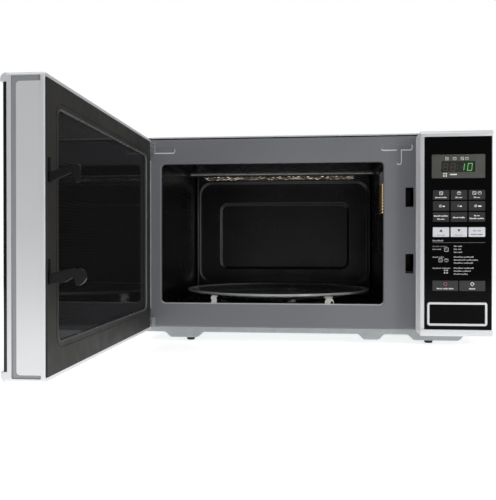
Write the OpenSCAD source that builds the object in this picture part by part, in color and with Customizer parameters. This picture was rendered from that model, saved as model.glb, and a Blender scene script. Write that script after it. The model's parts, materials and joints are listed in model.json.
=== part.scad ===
// Compact countertop microwave oven with a grill, standing with its door open.
// Frame: +Z up, +X to the right, the front faces -Y. The origin is on the table,
// under the centre of the cabinet's footprint.

/* [Cabinet] */
// Width over the wrap cover
cabinet_width = 436; // [432:1:460]
// Depth from the front plate to the rear panel
cabinet_depth = 300; // [300:1:330]
// Height of the cover's top above the table
cabinet_height = 268; // [268:1:280]
// Height of the base plate's underside above the table
base_height = 12; // [11:0.5:13]
// Height of the feet
foot_height = 5; // [4:0.5:6]

/* [Oven cavity] */
// Inside width of the oven cavity
cavity_width = 302; // [298:1:302]
// Inside depth behind the front plate
cavity_depth = 290.3; // [284:0.1:290.3]
// Inside height
cavity_height = 205.5; // [200:0.5:206]
// Height of the cavity floor above the table
cavity_floor = 38; // [38:0.5:40]
// Width of the opening in the front plate
opening_width = 288.5; // [284:0.5:290]
// Height of the opening in the front plate
opening_height = 182; // [178:0.5:184]
// Corner radius of the opening
opening_radius = 5; // [3:0.5:8]

/* [Control panel] */
// Width of the control panel
panel_width = 85.2; // [85.2:0.1:90]
// How far the control panel's insert stands in front of the front plate
panel_depth = 37.5; // [37:0.5:40]
// How far the caps above and below the insert and the door glass stand proud
cap_proud = 2.5; // [1:0.5:3]
// Travel of a key
key_travel = 0.6; // [0.4:0.1:0.6]
// Travel of the door release button
button_travel = 5; // [3:0.5:5]

/* [Door] */
// Angle at which the door stands open
door_open = 90; // [0:5:95]
// Gap between the closed door and the control panel
door_gap = 1.5; // [1.2:0.1:2]
// Thickness of the door's outer glass
door_glass_depth = 3; // [2:0.5:3]
// How far the latch hooks reach past the door's inner face
hook_reach = 28.8; // [26:0.2:29]

/* [Turntable] */
// Outer radius of the glass turntable
plate_radius = 136; // [130:1:138]
// Radius of the circle that the rollers run on
roller_track = 99; // [90:1:104]
// Radius of a roller
roller_radius = 6.7; // [6:0.1:6.7]

/* [Hidden] */
$fn = 64;
steel = 0.8;
base_sheet = 1;

// Edges of the cabinet
left = -cabinet_width / 2;
right = cabinet_width / 2;
front = -cabinet_depth / 2;
back = cabinet_depth / 2;
top = cabinet_height;
base_top = base_height + base_sheet;
plate_bottom = 18.5;
plate_top = top - 2.5;

// Edges of the cavity and of its opening
cavity_left = left + 17;
cavity_right = cavity_left + cavity_width;
cavity_front = front + 1;
cavity_back = cavity_front + cavity_depth;
cavity_top = cavity_floor + cavity_height;
opening_left = cavity_left + 5;
opening_right = opening_left + opening_width;
opening_bottom = cavity_floor + 12.5;
opening_top = opening_bottom + opening_height;
heater_front = cavity_back - 62;
heater_ceiling = cavity_top - 4.5;
wall_outside = cavity_right + steel;

// Edges of the control panel
panel_left = right - panel_width;
panel_front = front - panel_depth;
cap_front = panel_front - cap_proud;
panel_bottom = 16;
panel_top = top - 3.5;
insert_left = panel_left + 4.6;
insert_right = right - 1;
insert_bottom = panel_bottom + 8.1;
insert_top = panel_top - 7.3;
insert_depth = 1.2;
insert_back = panel_front + insert_depth;
board_front = panel_front + 10;
tact_height = 2.4;

// Keys: three columns, four rows, and two wide keys below
key_width = 19.4;
key_pitch = 21.1;
key_height = 11.6;
row_pitch = 13.35;
key_left = panel_left + 14.7;
key_top = 192.7;
light_key_top = 147.8;
wide_key_width = 30.6;
wide_key_top = 83.3;
wide_key_height = 12.5;

// Display window, and the release button
window_left = panel_left + 13.4;
window_right = panel_left + 76.5;
window_bottom = 206.9;
window_top = 235.8;
button_left = panel_left + 8;
button_right = button_left + 70.9;
button_bottom = 28.7;
button_top = 57.3;

// Door, drawn closed. The hinge axis is upright, in front of the plate's left edge
hinge_x = left + 5.5;
hinge_y = front - 6.5;
door_left = left + 0.5;
door_right = panel_left - door_gap;
door_face = front - 1.8;
door_front = panel_front;
glass_back = door_front + door_glass_depth;
frame_left = left + 10.5;
screen_left = left + 28;
screen_right = door_right - 27;
screen_bottom = 45.5;
screen_top = 239.5;
pin_radius = 2;

// Latch: two hooks near the door's free edge
hook_x = door_right - 6.3;
hook_half = 1.5;
hook_tip = door_face + hook_reach;
upper_tip = hook_tip - 2.5;
lower_tip = hook_tip + 2.5;
upper_hook = 176.3;
lower_hook = 93.5;
latch_y = front + 1;
board_wall = 1.6;
switch_back = latch_y + 41.4;

// Turntable
table_x = (cavity_left + cavity_right) / 2;
table_y = (cavity_front + cavity_back) / 2 - 1;
roller_z = cavity_floor + 7;
plate_underside = cavity_floor + 14;
plate_rim = cavity_floor + 24;
roller_angles = [-160, -40, 80];
roller_width = 7;
axle_radius = 1.5;
shaft_radius = 3.5;
running_gap = 0.05;

// Electrical compartment to the right of the cavity
magnetron_y = 55;
magnetron_z = 190;
fan_x = 161;
fan_z = 150;
fan_y = 133;
fan_radius = 42;

// ---------------------------------------------------------------- helpers

module box(x0, x1, y0, y1, z0, z1)
    translate([x0, y0, z0]) cube([x1 - x0, y1 - y0, z1 - z0]);

// Outline with round corners, from corner to corner
module round_rect(x0, x1, z0, z1, r) {
    translate([x0 + r, z0]) square([x1 - x0 - 2 * r, z1 - z0]);
    translate([x0, z0 + r]) square([x1 - x0, z1 - z0 - 2 * r]);
    for (x = [x0 + r, x1 - r], z = [z0 + r, z1 - r]) translate([x, z]) circle(r = r);
}

// Stands an outline drawn in X and Z upright, from y0 back to y1
module upright(y0, y1)
    translate([0, y1, 0]) rotate([90, 0, 0]) linear_extrude(y1 - y0) children();

module slab(x0, x1, y0, y1, z0, z1, r)
    upright(y0, y1) round_rect(x0, x1, z0, z1, r);

// Extrudes an outline drawn in Y and Z along X, from x0 to x1
module sideways(x0, x1)
    translate([x0, 0, 0]) rotate([90, 0, 90]) linear_extrude(x1 - x0) children();

module rod_x(x0, x1, y, z, r) translate([x0, y, z]) rotate([0, 90, 0]) cylinder(r = r, h = x1 - x0);
module rod_y(y0, y1, x, z, r) translate([x, y1, z]) rotate([90, 0, 0]) cylinder(r = r, h = y1 - y0);
module rod_z(z0, z1, x, y, r) translate([x, y, z0]) cylinder(r = r, h = z1 - z0);

// Turns a closed door's pieces about the hinge to where the door stands
module on_door()
    translate([hinge_x, hinge_y, 0]) rotate([0, 0, -door_open])
        translate([-hinge_x, -hinge_y, 0]) children();

// ---------------------------------------------------------------- cabinet

dish_slope = 9;
front_dishes = [[left + 26, left + 78], [right - 158, right - 123], [right - 95, right - 23]];
rear_dishes = [[left + 26, left + 78], [right - 90, right - 30]];
dish_length = 40;
foot_spots = [[left + 58, front + 20], [right - 66, front + 20],
    [left + 52, back - 25], [right - 60, back - 25]];

// Pressed-down dish that carries a foot, or its hollow when inset is above zero
module dish(span, y0, inset)
    upright(y0 + inset, y0 + dish_length - inset)
        polygon([[span[0] + inset, base_top + inset],
            [span[0] + dish_slope + inset, foot_height + inset],
            [span[1] - dish_slope - inset, foot_height + inset],
            [span[1] - inset, base_top + inset]]);

module base_dishes(inset) {
    for (span = front_dishes) dish(span, front + 1.5, inset);
    for (span = rear_dishes) dish(span, back - dish_length - 5, inset);
}

module base_plate() color("#b4b9bb") difference() {
    union() {
        box(left + 1, right - 1, front + 1.5, back - steel, base_height, base_top);
        // turned-up edges
        box(left + 1, right - 1, front + 1.5, front + 2.3, base_height, base_height + 10);
        for (x = [left + 1, right - 1 - steel])
            box(x, x + steel, front + 1.5, back - steel, base_height, base_height + 10);
        base_dishes(0);
    }
    base_dishes(base_sheet);
    for (spot = foot_spots) rod_z(0, base_top + 1, spot[0], spot[1], 2.5);
    // cooling slots under the electrical compartment and under the cavity
    for (x = [wall_outside + 12 : 12 : right - 16], y = [-75, -45, -15])
        box(x, x + 4, y, y + 22, base_height - 1, base_top + 1);
    for (x = [left + 30 : 14 : left + 100]) box(x, x + 5, 40, 62, base_height - 1, base_top + 1);
}

module feet() color("#161616") for (spot = foot_spots) translate([spot[0], spot[1], 0]) {
    cylinder(r1 = 5, r2 = 6, h = foot_height);
    translate([0, 0, foot_height]) cylinder(r = 2.4, h = 3);
}

emboss = 0.5;
emboss_level = top - 21.3;
lip_depth = 5;

module front_plate() color("#68696d") difference() {
    union() {
        slab(left + 1, panel_left + 4, front, cavity_front, plate_bottom, plate_top, 6);
        // lip turned back around the opening
        slab(opening_left - 1, opening_right + 1, front, front + lip_depth,
            opening_bottom - 1, opening_top + 1, opening_radius + 1);
    }
    slab(opening_left, opening_right, front - 1, front + lip_depth + 1,
        opening_bottom, opening_top, opening_radius);
    // stiffening grooves: a bar on the hinge side, a T on the latch side
    slab(left + 5, left + 41, front - 1, front + emboss, emboss_level, emboss_level + 7.6, 3);
    slab(opening_right - 3.5, opening_right + 36.5, front - 1, front + emboss,
        emboss_level, emboss_level + 8.3, 3);
    slab(opening_right + 16, opening_right + 23, front - 1, front + emboss,
        opening_top - 4, emboss_level + 4, 3);
    // slots that the latch hooks enter
    for (z = [upper_hook - 1.7, lower_hook - 3.2])
        slab(hook_x - 5, hook_x + 5.2, front - 1, cavity_front + 1, z, z + 24.8, 0.8);
    rod_y(front - 1, cavity_front + 1, left + 8, 94, 1.6);
}

exhaust_y = [for (i = [0 : 7]) 30 + 8 * i];
exhaust_z = [for (i = [0 : 4]) 180 + 8 * i];
lamp_pitch = 4.3;
lamp_y = [for (i = [0 : 13]) -64 + lamp_pitch * i];
lamp_z = [for (i = [0 : 13]) 173 + lamp_pitch * i];
duct_depth = 17;
outer_step = 1.5;
inner_step = 3.5;

// Two steps pressed outward in the back wall, one inside the other
module back_steps(y0, grow) {
    slab(cavity_left + 6 - grow, cavity_right - 4 + grow, y0, cavity_back + outer_step + grow,
        cavity_floor + 23.4 - grow, cavity_top - 7.7 + grow, 20);
    slab(cavity_left + 42.5 - grow, cavity_right - 37.5 + grow, y0, cavity_back + inner_step + grow,
        cavity_floor + 47.7 - grow, cavity_top - 44.7 + grow, 13);
}

module cavity() color("#17181a") difference() {
    union() {
        box(cavity_left - steel, wall_outside, cavity_front, cavity_back + steel,
            cavity_floor - steel, cavity_top + steel);
        back_steps(cavity_back, steel);
        // waveguide welded to the right wall
        box(wall_outside, wall_outside + duct_depth, 12, 98, 116, 214);
    }
    box(cavity_left, cavity_right, cavity_front - 1, heater_front, cavity_floor, cavity_top);
    box(cavity_left, cavity_right, heater_front - 1, cavity_back, cavity_floor, heater_ceiling);
    back_steps(cavity_back - 1, 0);
    // room over the lower ceiling, for the grill heater
    box(cavity_left, cavity_right, heater_front + steel, cavity_back, heater_ceiling + steel,
        cavity_top + steel + 1);
    // heater slots in the ceiling
    for (x = [cavity_left + 24 : 16 : cavity_right - 30])
        for (y = [heater_front + 8 : 12 : cavity_back - 12])
            box(x, x + 11, y, y + 5, heater_ceiling - 1, heater_ceiling + steel + 1);
    for (y = lamp_y, z = lamp_z) rod_x(cavity_right - 1, wall_outside + 1, y, z, 1.4);
    for (y = exhaust_y, z = exhaust_z) rod_x(cavity_left - steel - 1, cavity_left + 1, y, z, 2);
    rod_z(cavity_floor - steel - 1, cavity_floor + 1, table_x, table_y, 6);
    // inside of the waveguide, its mouth and the antenna hole
    box(wall_outside, wall_outside + duct_depth - steel, 12 + steel, 98 - steel,
        116 + steel, 214 - steel);
    box(cavity_right - 1, wall_outside + 1, 16, 94, 120, 160);
    rod_x(wall_outside + duct_depth - 2, wall_outside + duct_depth + 1, magnetron_y, magnetron_z, 14);
}

module waveguide_cover() color("#8d8878")
    sideways(cavity_right - 0.6, cavity_right) round_rect(10, 100, 114, 166, 4);

module cover_outline(inset, r)
    round_rect(left + inset, right - inset, base_height - 40, top - inset, r);

module wrap_cover() color("#cfd1d3") difference() {
    upright(front, back - steel) difference() {
        cover_outline(0, 8);
        cover_outline(steel, 8 - steel);
        translate([left - 1, base_height - 50]) square([cabinet_width + 2, 50]);
    }
    // cooling slots, low on the right and high on the left
    for (z = [60 : 9 : 130], y = [20, 65]) box(right - 2, right + 1, y, y + 36, z, z + 3.5);
    for (z = [165 : 9 : 225], y = [30, 75]) box(left - 1, left + 2, y, y + 36, z, z + 3.5);
}

inlet_x = right - 32;
inlet_z = 46;
screw_spots = [[left + 12, top - 14], [left + 12, 28], [right - 12, top - 14],
    [right - 12, 28], [0, top - 14], [0, 22]];

module rear_panel() color("#b9bdbf") difference() {
    slab(left, right, back - steel, back, base_height, top, 8);
    // fan intake, a round field of slots
    for (z = [fan_z - 36 : 8 : fan_z + 36]) {
        half = sqrt(pow(fan_radius - 2, 2) - pow(z - fan_z, 2));
        box(fan_x - half, fan_x - 3, back - 2, back + 1, z - 2, z + 2);
        box(fan_x + 3, fan_x + half, back - 2, back + 1, z - 2, z + 2);
    }
    for (x = [left + 40 : 10 : left + 120]) box(x, x + 4, back - 2, back + 1, 185, 225);
    rod_y(back - 2, back + 1, inlet_x, inlet_z, 8);
    for (spot = screw_spots) rod_y(back - 2, back + 1, spot[0], spot[1], 1.7);
}

module case_screws() color("#9fa3a6") for (spot = screw_spots) {
    rod_y(back - 6, back, spot[0], spot[1], 1.65);
    difference() {
        rod_y(back, back + 2, spot[0], spot[1], 3.6);
        box(spot[0] - 2.6, spot[0] + 2.6, back + 1, back + 3, spot[1] - 0.5, spot[1] + 0.5);
        box(spot[0] - 0.5, spot[0] + 0.5, back + 1, back + 3, spot[1] - 2.6, spot[1] + 2.6);
    }
}

module cord_inlet() color("#1a1a1a") difference() {
    union() {
        rod_y(back - steel - 4, back + 5, inlet_x, inlet_z, 7.9);
        rod_y(back, back + 3, inlet_x, inlet_z, 11);
        rod_y(back - steel - 4, back - steel - 1, inlet_x, inlet_z, 9.5);
    }
    rod_y(back - 8, back + 6, inlet_x, inlet_z, 3.6);
}

// ---------------------------------------------------------------- hinges

arm_half = 2.7;

// Flat arm from the front plate to the hinge axis
module hinge_arm(z0, z1) {
    box(hinge_x - arm_half, hinge_x + arm_half, hinge_y, front, z0, z1);
    rod_z(z0, z1, hinge_x, hinge_y, arm_half);
}

module hinge_flange(z0, z1) box(hinge_x - arm_half, left + 14, front - 1.2, front, z0, z1);

module upper_hinge() color("#a9abad") {
    hinge_arm(top - 10, top - 8);
    rod_z(top - 20, top - 10, hinge_x, hinge_y, pin_radius);
    hinge_flange(top - 22, top - 8);
}

module lower_hinge() color("#55585a") {
    hinge_arm(19.9, 21.9);
    rod_z(21.9, 30, hinge_x, hinge_y, pin_radius);
    hinge_flange(19.9, 31);
}

// ---------------------------------------------------------------- control panel

// Body with round corners whose front stands proud in a cap at the top and the bottom
module capped_slab(x0, x1, y1) difference() {
    slab(x0, x1, cap_front, y1, panel_bottom, panel_top, 2.5);
    box(x0 - 1, x1 + 1, cap_front - 1, panel_front, insert_bottom, insert_top);
}

module control_fascia() color("#c6c8ca") difference() {
    capped_slab(panel_left, right, front);
    // hollow inside
    box(panel_left + 2, right - 2, insert_back + 2, front + 1, panel_bottom + 2, panel_top - 2);
    // seat for the insert
    box(insert_left, insert_right, panel_front - 1, insert_back, insert_bottom, insert_top);
    // windows behind the display, the keys and the release button
    box(window_left + 4, window_right - 4, insert_back - 1, insert_back + 3,
        window_bottom + 3, window_top - 3);
    box(key_left - 3, key_left + 65, insert_back - 1, insert_back + 3, 66, 197);
    slab(button_left - 0.4, button_right + 0.4, insert_back - 1, insert_back + 3,
        button_bottom - 0.4, button_top + 0.4, 3);
}

// Openings for all the keys, each wider than its key by grow on every side
module key_holes(grow) {
    for (column = [0 : 2]) {
        x = key_left + column * key_pitch;
        for (row = [0 : 2])
            slab(x - grow, x + key_width + grow, panel_front - 1, insert_back + 1,
                key_top - row * row_pitch - key_height - grow, key_top - row * row_pitch + grow, 1);
        slab(x - grow, x + key_width + grow, panel_front - 1, insert_back + 1,
            light_key_top - key_height - grow, light_key_top + grow, 1);
    }
    for (x = [key_left - 0.4, key_left + 31.3])
        slab(x - grow, x + wide_key_width + grow, panel_front - 1, insert_back + 1,
            wide_key_top - wide_key_height - grow, wide_key_top + grow, 1);
}

module panel_insert() color("#0b0b0c") difference() {
    slab(insert_left, insert_right, panel_front, insert_back, insert_bottom, insert_top, 1);
    key_holes(0.25);
    slab(window_left, window_right, panel_front - 1, insert_back + 1, window_bottom, window_top, 1);
    slab(button_left - 0.4, button_right + 0.4, panel_front - 1, insert_back + 1,
        button_bottom - 0.4, button_top + 0.4, 3);
}

module display_window() color("#4b4b46")
    slab(window_left + 0.1, window_right - 0.1, panel_front - 0.1, insert_back,
        window_bottom + 0.1, window_top - 0.1, 1);

module display_module() color("#101210") {
    box(window_left + 9, window_right - 11, insert_back + 0.4, board_front - 1,
        window_bottom + 5, window_top - 6);
    box(window_left + 6, window_right - 8, board_front - 1, board_front,
        window_bottom + 4, window_top - 5);
}

// Small square switch behind a key, on the stem's centre
module tact_switch(x, z_top)
    box(x - 3, x + 3, board_front - tact_height, board_front, z_top - 9, z_top - 3);

// Printed board with its tact switches, relays and supply transformer
module control_board() color("#5c6b34") {
    box(key_left - 6, key_left + 64, board_front, board_front + 1.6, 64, 240);
    for (column = [0 : 2]) {
        x = key_left + column * key_pitch + key_width / 2;
        for (row = [0 : 2]) tact_switch(x, key_top - row * row_pitch);
        tact_switch(x, light_key_top);
    }
    for (x = [key_left - 0.4, key_left + 31.3]) tact_switch(x + wide_key_width / 2, wide_key_top);
    box(key_left + 2, key_left + 32, board_front + 1.6, board_front + 17, 190, 224);
    for (z = [96, 122, 148])
        box(key_left + 4, key_left + 22, board_front + 1.6, board_front + 14, z, z + 20);
    rod_y(board_front + 1.6, board_front + 9, key_left + 46, 104, 6);
    for (z = [135, 155]) rod_y(board_front + 1.6, board_front + 14, key_left + 46, z, 5);
}

// Key cap with its stem; the stem ends just short of the switch behind it
module key(x, z_top, width, height) {
    slab(x, x + width, panel_front - 0.4, insert_back + 0.6, z_top - height, z_top, 0.8);
    rod_y(insert_back + 0.6, board_front - tact_height - key_travel - 0.2, x + width / 2, z_top - 6, 2);
}

module dark_key(column, row) color("#3a3a3a")
    key(key_left + column * key_pitch, key_top - row * row_pitch, key_width, key_height);
module light_key(column) color("#d9dadb")
    key(key_left + column * key_pitch, light_key_top, key_width, key_height);
module wide_key(x) color("#3f3f40") key(x, wide_key_top, wide_key_width, wide_key_height);

module microwave_key() dark_key(0, 0);
module grill_key() dark_key(1, 0);
module combination_key() dark_key(2, 0);
module ten_minute_key() dark_key(0, 1);
module one_minute_key() dark_key(1, 1);
module ten_second_key() dark_key(2, 1);
module defrost_key() dark_key(0, 2);
module weight_key() dark_key(1, 2);
module menu_key() dark_key(2, 2);
module increase_key() light_key(0);
module decrease_key() light_key(1);
module clock_key() light_key(2);
module stop_key() wide_key(key_left - 0.4);
module start_key() wide_key(key_left + 31.3);

// ---------------------------------------------------------------- door release

ramp_y = front;
push_x = button_left + 4;
arm_bottom = 82;
arm_top = 88;

// Button whose rod ends in a 45 degree wedge
module release_button() color("#111213") {
    difference() {
        slab(button_left, button_right, panel_front - 1.2, insert_back + 5,
            button_bottom, button_top, 2.6);
        slab(button_left + 2.8, button_right - 2.8, panel_front - 2, panel_front - 0.4,
            button_bottom + 2.7, button_top - 2.7, 1.4);
        // hollow back
        box(button_left + 12, button_right - 2, insert_back + 2.5, insert_back + 6,
            button_bottom + 2, button_top - 2);
    }
    sideways(push_x, push_x + 6)
        polygon([[insert_back + 5, 44], [ramp_y + 12, 44], [ramp_y, 56], [insert_back + 5, 56]]);
}

// Slide that the wedge lifts; its arm stops under the lower hook
module release_slide() color("#d8d6cf") {
    sideways(push_x, push_x + 6)
        polygon([[ramp_y + 4, 52.8], [ramp_y + 16, 40.8], [ramp_y + 16, arm_bottom],
            [ramp_y + 4, arm_bottom]]);
    box(push_x - 9, push_x + 6, ramp_y + 4, ramp_y + 24, arm_bottom, arm_top);
    box(hook_x - 2.5, push_x - 9, ramp_y + 13, ramp_y + 24, arm_bottom, arm_top);
}

// Plastic frame behind the latch slots that holds the switches
module latch_board() color("#e3e1da") difference() {
    box(hook_x - 8, hook_x + 8.2, latch_y, switch_back + board_wall, 74, 208);
    difference() {
        box(hook_x - 8 + board_wall, hook_x + 8.2 - board_wall, latch_y - 1, switch_back,
            74 + board_wall, 208 - board_wall);
        // ledges that the hook noses drop behind
        for (nose = [upper_hook, lower_hook])
            box(hook_x - 8, hook_x + 8, latch_y, latch_y + 9, nose - 10.5, nose - 0.5);
        // rib between the two upper switches
        box(hook_x - 8, hook_x + 8, latch_y + 27, switch_back + 1, 136, 138);
    }
    // window for the release slide's arm
    box(hook_x + 6, hook_x + 9, latch_y + 10, latch_y + 26, 80, 96);
}

// Three snap switches, one plunger each; the deep one is behind the shorter upper hook
module interlock_switches() color("#3b3a38") for (spot = [[178, 15.9], [142, 10.9], [96, 10.9]]) {
    z = spot[0];
    face = switch_back - spot[1];
    box(hook_x - 5, hook_x + 5, face, switch_back, z, z + 20);
    box(hook_x - 2, hook_x + 2, face - 1.5, face, z + 6, z + 9);
}

// ---------------------------------------------------------------- electrical parts

module magnetron() color("#b3b5b6") {
    x = wall_outside + duct_depth;
    difference() {
        box(x, x + 1.6, magnetron_y - 46, magnetron_y + 46, magnetron_z - 40, magnetron_z + 40);
        for (dy = [-39, 39], dz = [-33, 33])
            rod_x(x - 1, x + 3, magnetron_y + dy, magnetron_z + dz, 2.2);
    }
    rod_x(x - 12, x, magnetron_y, magnetron_z, 9);
    rod_x(x + 1.6, x + 14, magnetron_y, magnetron_z, 27);
    rod_x(x + 14, x + 54, magnetron_y, magnetron_z, 19);
    rod_x(x + 54, x + 66, magnetron_y, magnetron_z, 27);
    for (i = [0 : 5]) box(x + 17 + 6 * i, x + 17.8 + 6 * i, magnetron_y - 38, magnetron_y + 38,
        magnetron_z - 33, magnetron_z + 33);
    for (z = [magnetron_z - 35, magnetron_z + 33.4])
        box(x + 1.6, x + 67.6, magnetron_y - 39, magnetron_y + 39, z, z + 1.6);
    box(x + 66, x + 67.6, magnetron_y - 39, magnetron_y + 39, magnetron_z - 33.4, magnetron_z + 33.4);
    box(x + 67.6, x + 90, magnetron_y - 28, magnetron_y + 28, magnetron_z - 24, magnetron_z + 24);
    box(x + 70, x + 88, magnetron_y - 40, magnetron_y - 28, magnetron_z - 10, magnetron_z + 10);
}

core_x = wall_outside + 12;
core_y = -106;

module high_voltage_transformer() color("#8a6d3b") {
    box(core_x, core_x + 92, core_y + 20, core_y + 68, base_top + 1.6, base_top + 77);
    box(core_x - 4, core_x + 96, core_y + 16, core_y + 72, base_top, base_top + 1.6);
    for (z = [18, 46]) difference() {
        translate([core_x + 46, core_y + 44, base_top]) linear_extrude(z + 20)
            round_rect(-34, 34, -42, 42, 14);
        box(core_x - 1, core_x + 93, core_y + 20, core_y + 68, base_top - 1, base_top + 80);
        box(core_x - 1, core_x + 93, core_y - 10, core_y + 100, base_top - 1, base_top + z);
    }
}

module high_voltage_capacitor() color("#c3c5c6") {
    can_front = 4;
    can_back = 92;
    upright(can_front, can_back) round_rect(right - 62, right - 11, base_top + 0.6, base_top + 34, 16);
    // terminals
    for (x = [right - 48, right - 25])
        box(x - 3, x + 3, can_back, can_back + 8, base_top + 16, base_top + 17);
}

module high_voltage_diode() color("#232323") {
    rod_x(right - 92, right - 74, 62, base_top + 8, 4);
    rod_x(right - 98, right - 92, 62, base_top + 8, 0.7);
    rod_x(right - 74, right - 62, 62, base_top + 8, 0.7);
}

shroud_half = 49;

// Square duct with a round orifice, and the arms that carry the motor
module fan_shroud() color("#dcdad2") difference() {
    union() {
        difference() {
            box(fan_x - shroud_half, fan_x + shroud_half, back - 44, back - steel,
                fan_z - shroud_half, fan_z + shroud_half);
            box(fan_x - shroud_half + 2, fan_x + shroud_half - 2, back - 45, back - 6,
                fan_z - shroud_half + 2, fan_z + shroud_half - 2);
            rod_y(back - 7, back + 1, fan_x, fan_z, fan_radius + 2.5);
        }
        box(fan_x - shroud_half + 2, fan_x + shroud_half - 2, fan_y - 13, fan_y - 11,
            fan_z - 7, fan_z + 7);
    }
    rod_y(fan_y - 14, fan_y - 10, fan_x, fan_z, 5);
}

module fan_motor() color("#7c7f82") difference() {
    union() {
        box(fan_x - 30, fan_x + 30, fan_y - 25, fan_y - 13, fan_z - 24, fan_z + 16);
        box(fan_x - 14, fan_x + 14, fan_y - 29, fan_y - 13, fan_z - 40, fan_z - 24);
        rod_y(fan_y - 29, fan_y - 25, fan_x, fan_z, 8);
    }
    rod_y(fan_y - 30, fan_y - 10, fan_x, fan_z, 1.6 + running_gap);
}

module fan_blade() color("#d9dcdc") {
    rod_y(fan_y - 27, fan_y - 7, fan_x, fan_z, 1.6);
    rod_y(fan_y - 7, fan_y + 7, fan_x, fan_z, 10);
    for (i = [0 : 6]) translate([fan_x, fan_y, fan_z]) rotate([0, i * 360 / 7, 0])
        translate([8, 0, 0]) rotate([38, 0, 0])
            translate([0, -0.8, -9]) cube([fan_radius - 11, 1.6, 18]);
}

module oven_lamp() color("#e9dfc0") {
    rod_x(wall_outside + 3, wall_outside + 24, -35, 204, 10);
    translate([wall_outside + 3, -35, 204]) sphere(r = 2.5);
    rod_x(wall_outside + 24, wall_outside + 38, -35, 204, 12);
    box(wall_outside, wall_outside + 26, -50, -48.8, 192, 216);
    box(wall_outside + 24, wall_outside + 26, -48.8, -22, 192, 216);
}

// Two straight sheathed elements over the ceiling slots
module grill_heater() color("#4a4643") for (y = [heater_front + 18, heater_front + 42]) {
    rod_x(cavity_left + 16, cavity_right - 16, y, heater_ceiling + 7, 3.3);
    for (x = [cavity_left + 12, cavity_right - 18]) rod_x(x, x + 6, y, heater_ceiling + 7, 4.6);
}

module heater_housing() color("#a9acae") difference() {
    box(cavity_left + 10, cavity_right - 10, heater_front + 4, cavity_back - 6,
        heater_ceiling + steel, heater_ceiling + 15);
    box(cavity_left + 10 + steel, cavity_right - 10 - steel, heater_front + 4 + steel,
        cavity_back - 6 - steel, heater_ceiling, heater_ceiling + 15 - steel);
}

module noise_filter() color("#4d5a36") {
    box(wall_outside + 8, right - 14, -110, -50, 226, 227.6);
    box(wall_outside + 16, wall_outside + 44, -100, -72, 227.6, 246);
    box(wall_outside + 52, wall_outside + 72, -98, -84, 227.6, 240);
    rod_x(wall_outside + 52, wall_outside + 76, -62, 232.6, 5);
    // bracket on the cavity wall
    box(wall_outside, wall_outside + 8, -100, -60, 226, 227);
}

// ---------------------------------------------------------------- turntable

module turntable_motor() color("#c4c6c8") difference() {
    union() {
        rod_z(base_top + 6, cavity_floor - steel - 2, table_x, table_y, 24.5);
        translate([table_x, table_y, cavity_floor - steel - 2]) linear_extrude(2) {
            square([70, 14], center = true);
            circle(r = 24.5);
        }
    }
    rod_z(base_top + 10, cavity_floor, table_x, table_y, shaft_radius + running_gap);
    for (dx = [-30, 30]) rod_z(cavity_floor - 5, cavity_floor, table_x + dx, table_y, 2);
}

// Three-winged hub on the motor shaft that drives the glass
module drive_coupler() color("#e6e4dc") translate([table_x, table_y, 0]) {
    translate([0, 0, base_top + 12]) cylinder(r = shaft_radius, h = cavity_floor + 2 - base_top - 12);
    translate([0, 0, cavity_floor + 1]) cylinder(r = 10, h = plate_underside - cavity_floor - 1);
    for (a = roller_angles) rotate([0, 0, a])
        translate([0, -4, cavity_floor + 5]) cube([24, 8, plate_underside - cavity_floor - 5]);
}

module glass_turntable() color([0.16, 0.2, 0.18, 0.6]) translate([table_x, table_y, 0])
    rotate_extrude($fn = 96) polygon([[0, plate_underside], [104, plate_underside],
        [112, plate_underside + 1.4], [plate_radius - 3, plate_rim - 4], [plate_radius, plate_rim - 2.6],
        [plate_radius - 0.6, plate_rim], [plate_radius - 3.4, plate_rim - 0.4],
        [110, plate_underside + 5.4], [103, plate_underside + 4], [0, plate_underside + 4]]);

ring_inside = 83;
ring_outside = 89;

module roller_ring() color("#3a3b3b") translate([table_x, table_y, 0]) {
    rotate_extrude($fn = 96) translate([ring_inside, roller_z - 2])
        square([ring_outside - ring_inside, 4]);
    for (a = roller_angles) rotate([0, 0, a]) {
        translate([ring_outside - 1, 0, roller_z]) rotate([0, 90, 0])
            cylinder(r = axle_radius, h = roller_track + roller_width / 2 + 1 - ring_outside + 1);
        translate([roller_track + roller_width / 2 + 0.4, 0, roller_z]) rotate([0, 90, 0])
            cylinder(r = 2.6, h = 1.4);
    }
}

module roller(i) color("#e8e8e4") translate([table_x, table_y, roller_z])
    rotate([0, 0, roller_angles[i]]) translate([roller_track - roller_width / 2, 0, 0])
        rotate([0, 90, 0]) difference() {
            cylinder(r = roller_radius, h = roller_width);
            translate([0, 0, -1]) cylinder(r = axle_radius + running_gap, h = roller_width + 2);
        }

module roller_1() roller(0);
module roller_2() roller(1);
module roller_3() roller(2);

// ---------------------------------------------------------------- door

bezel_wall = 1.8;
bezel_side = 2;
bezel_edge = 3.2;
bezel_back = front - 3;
notch_height = 24;

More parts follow.
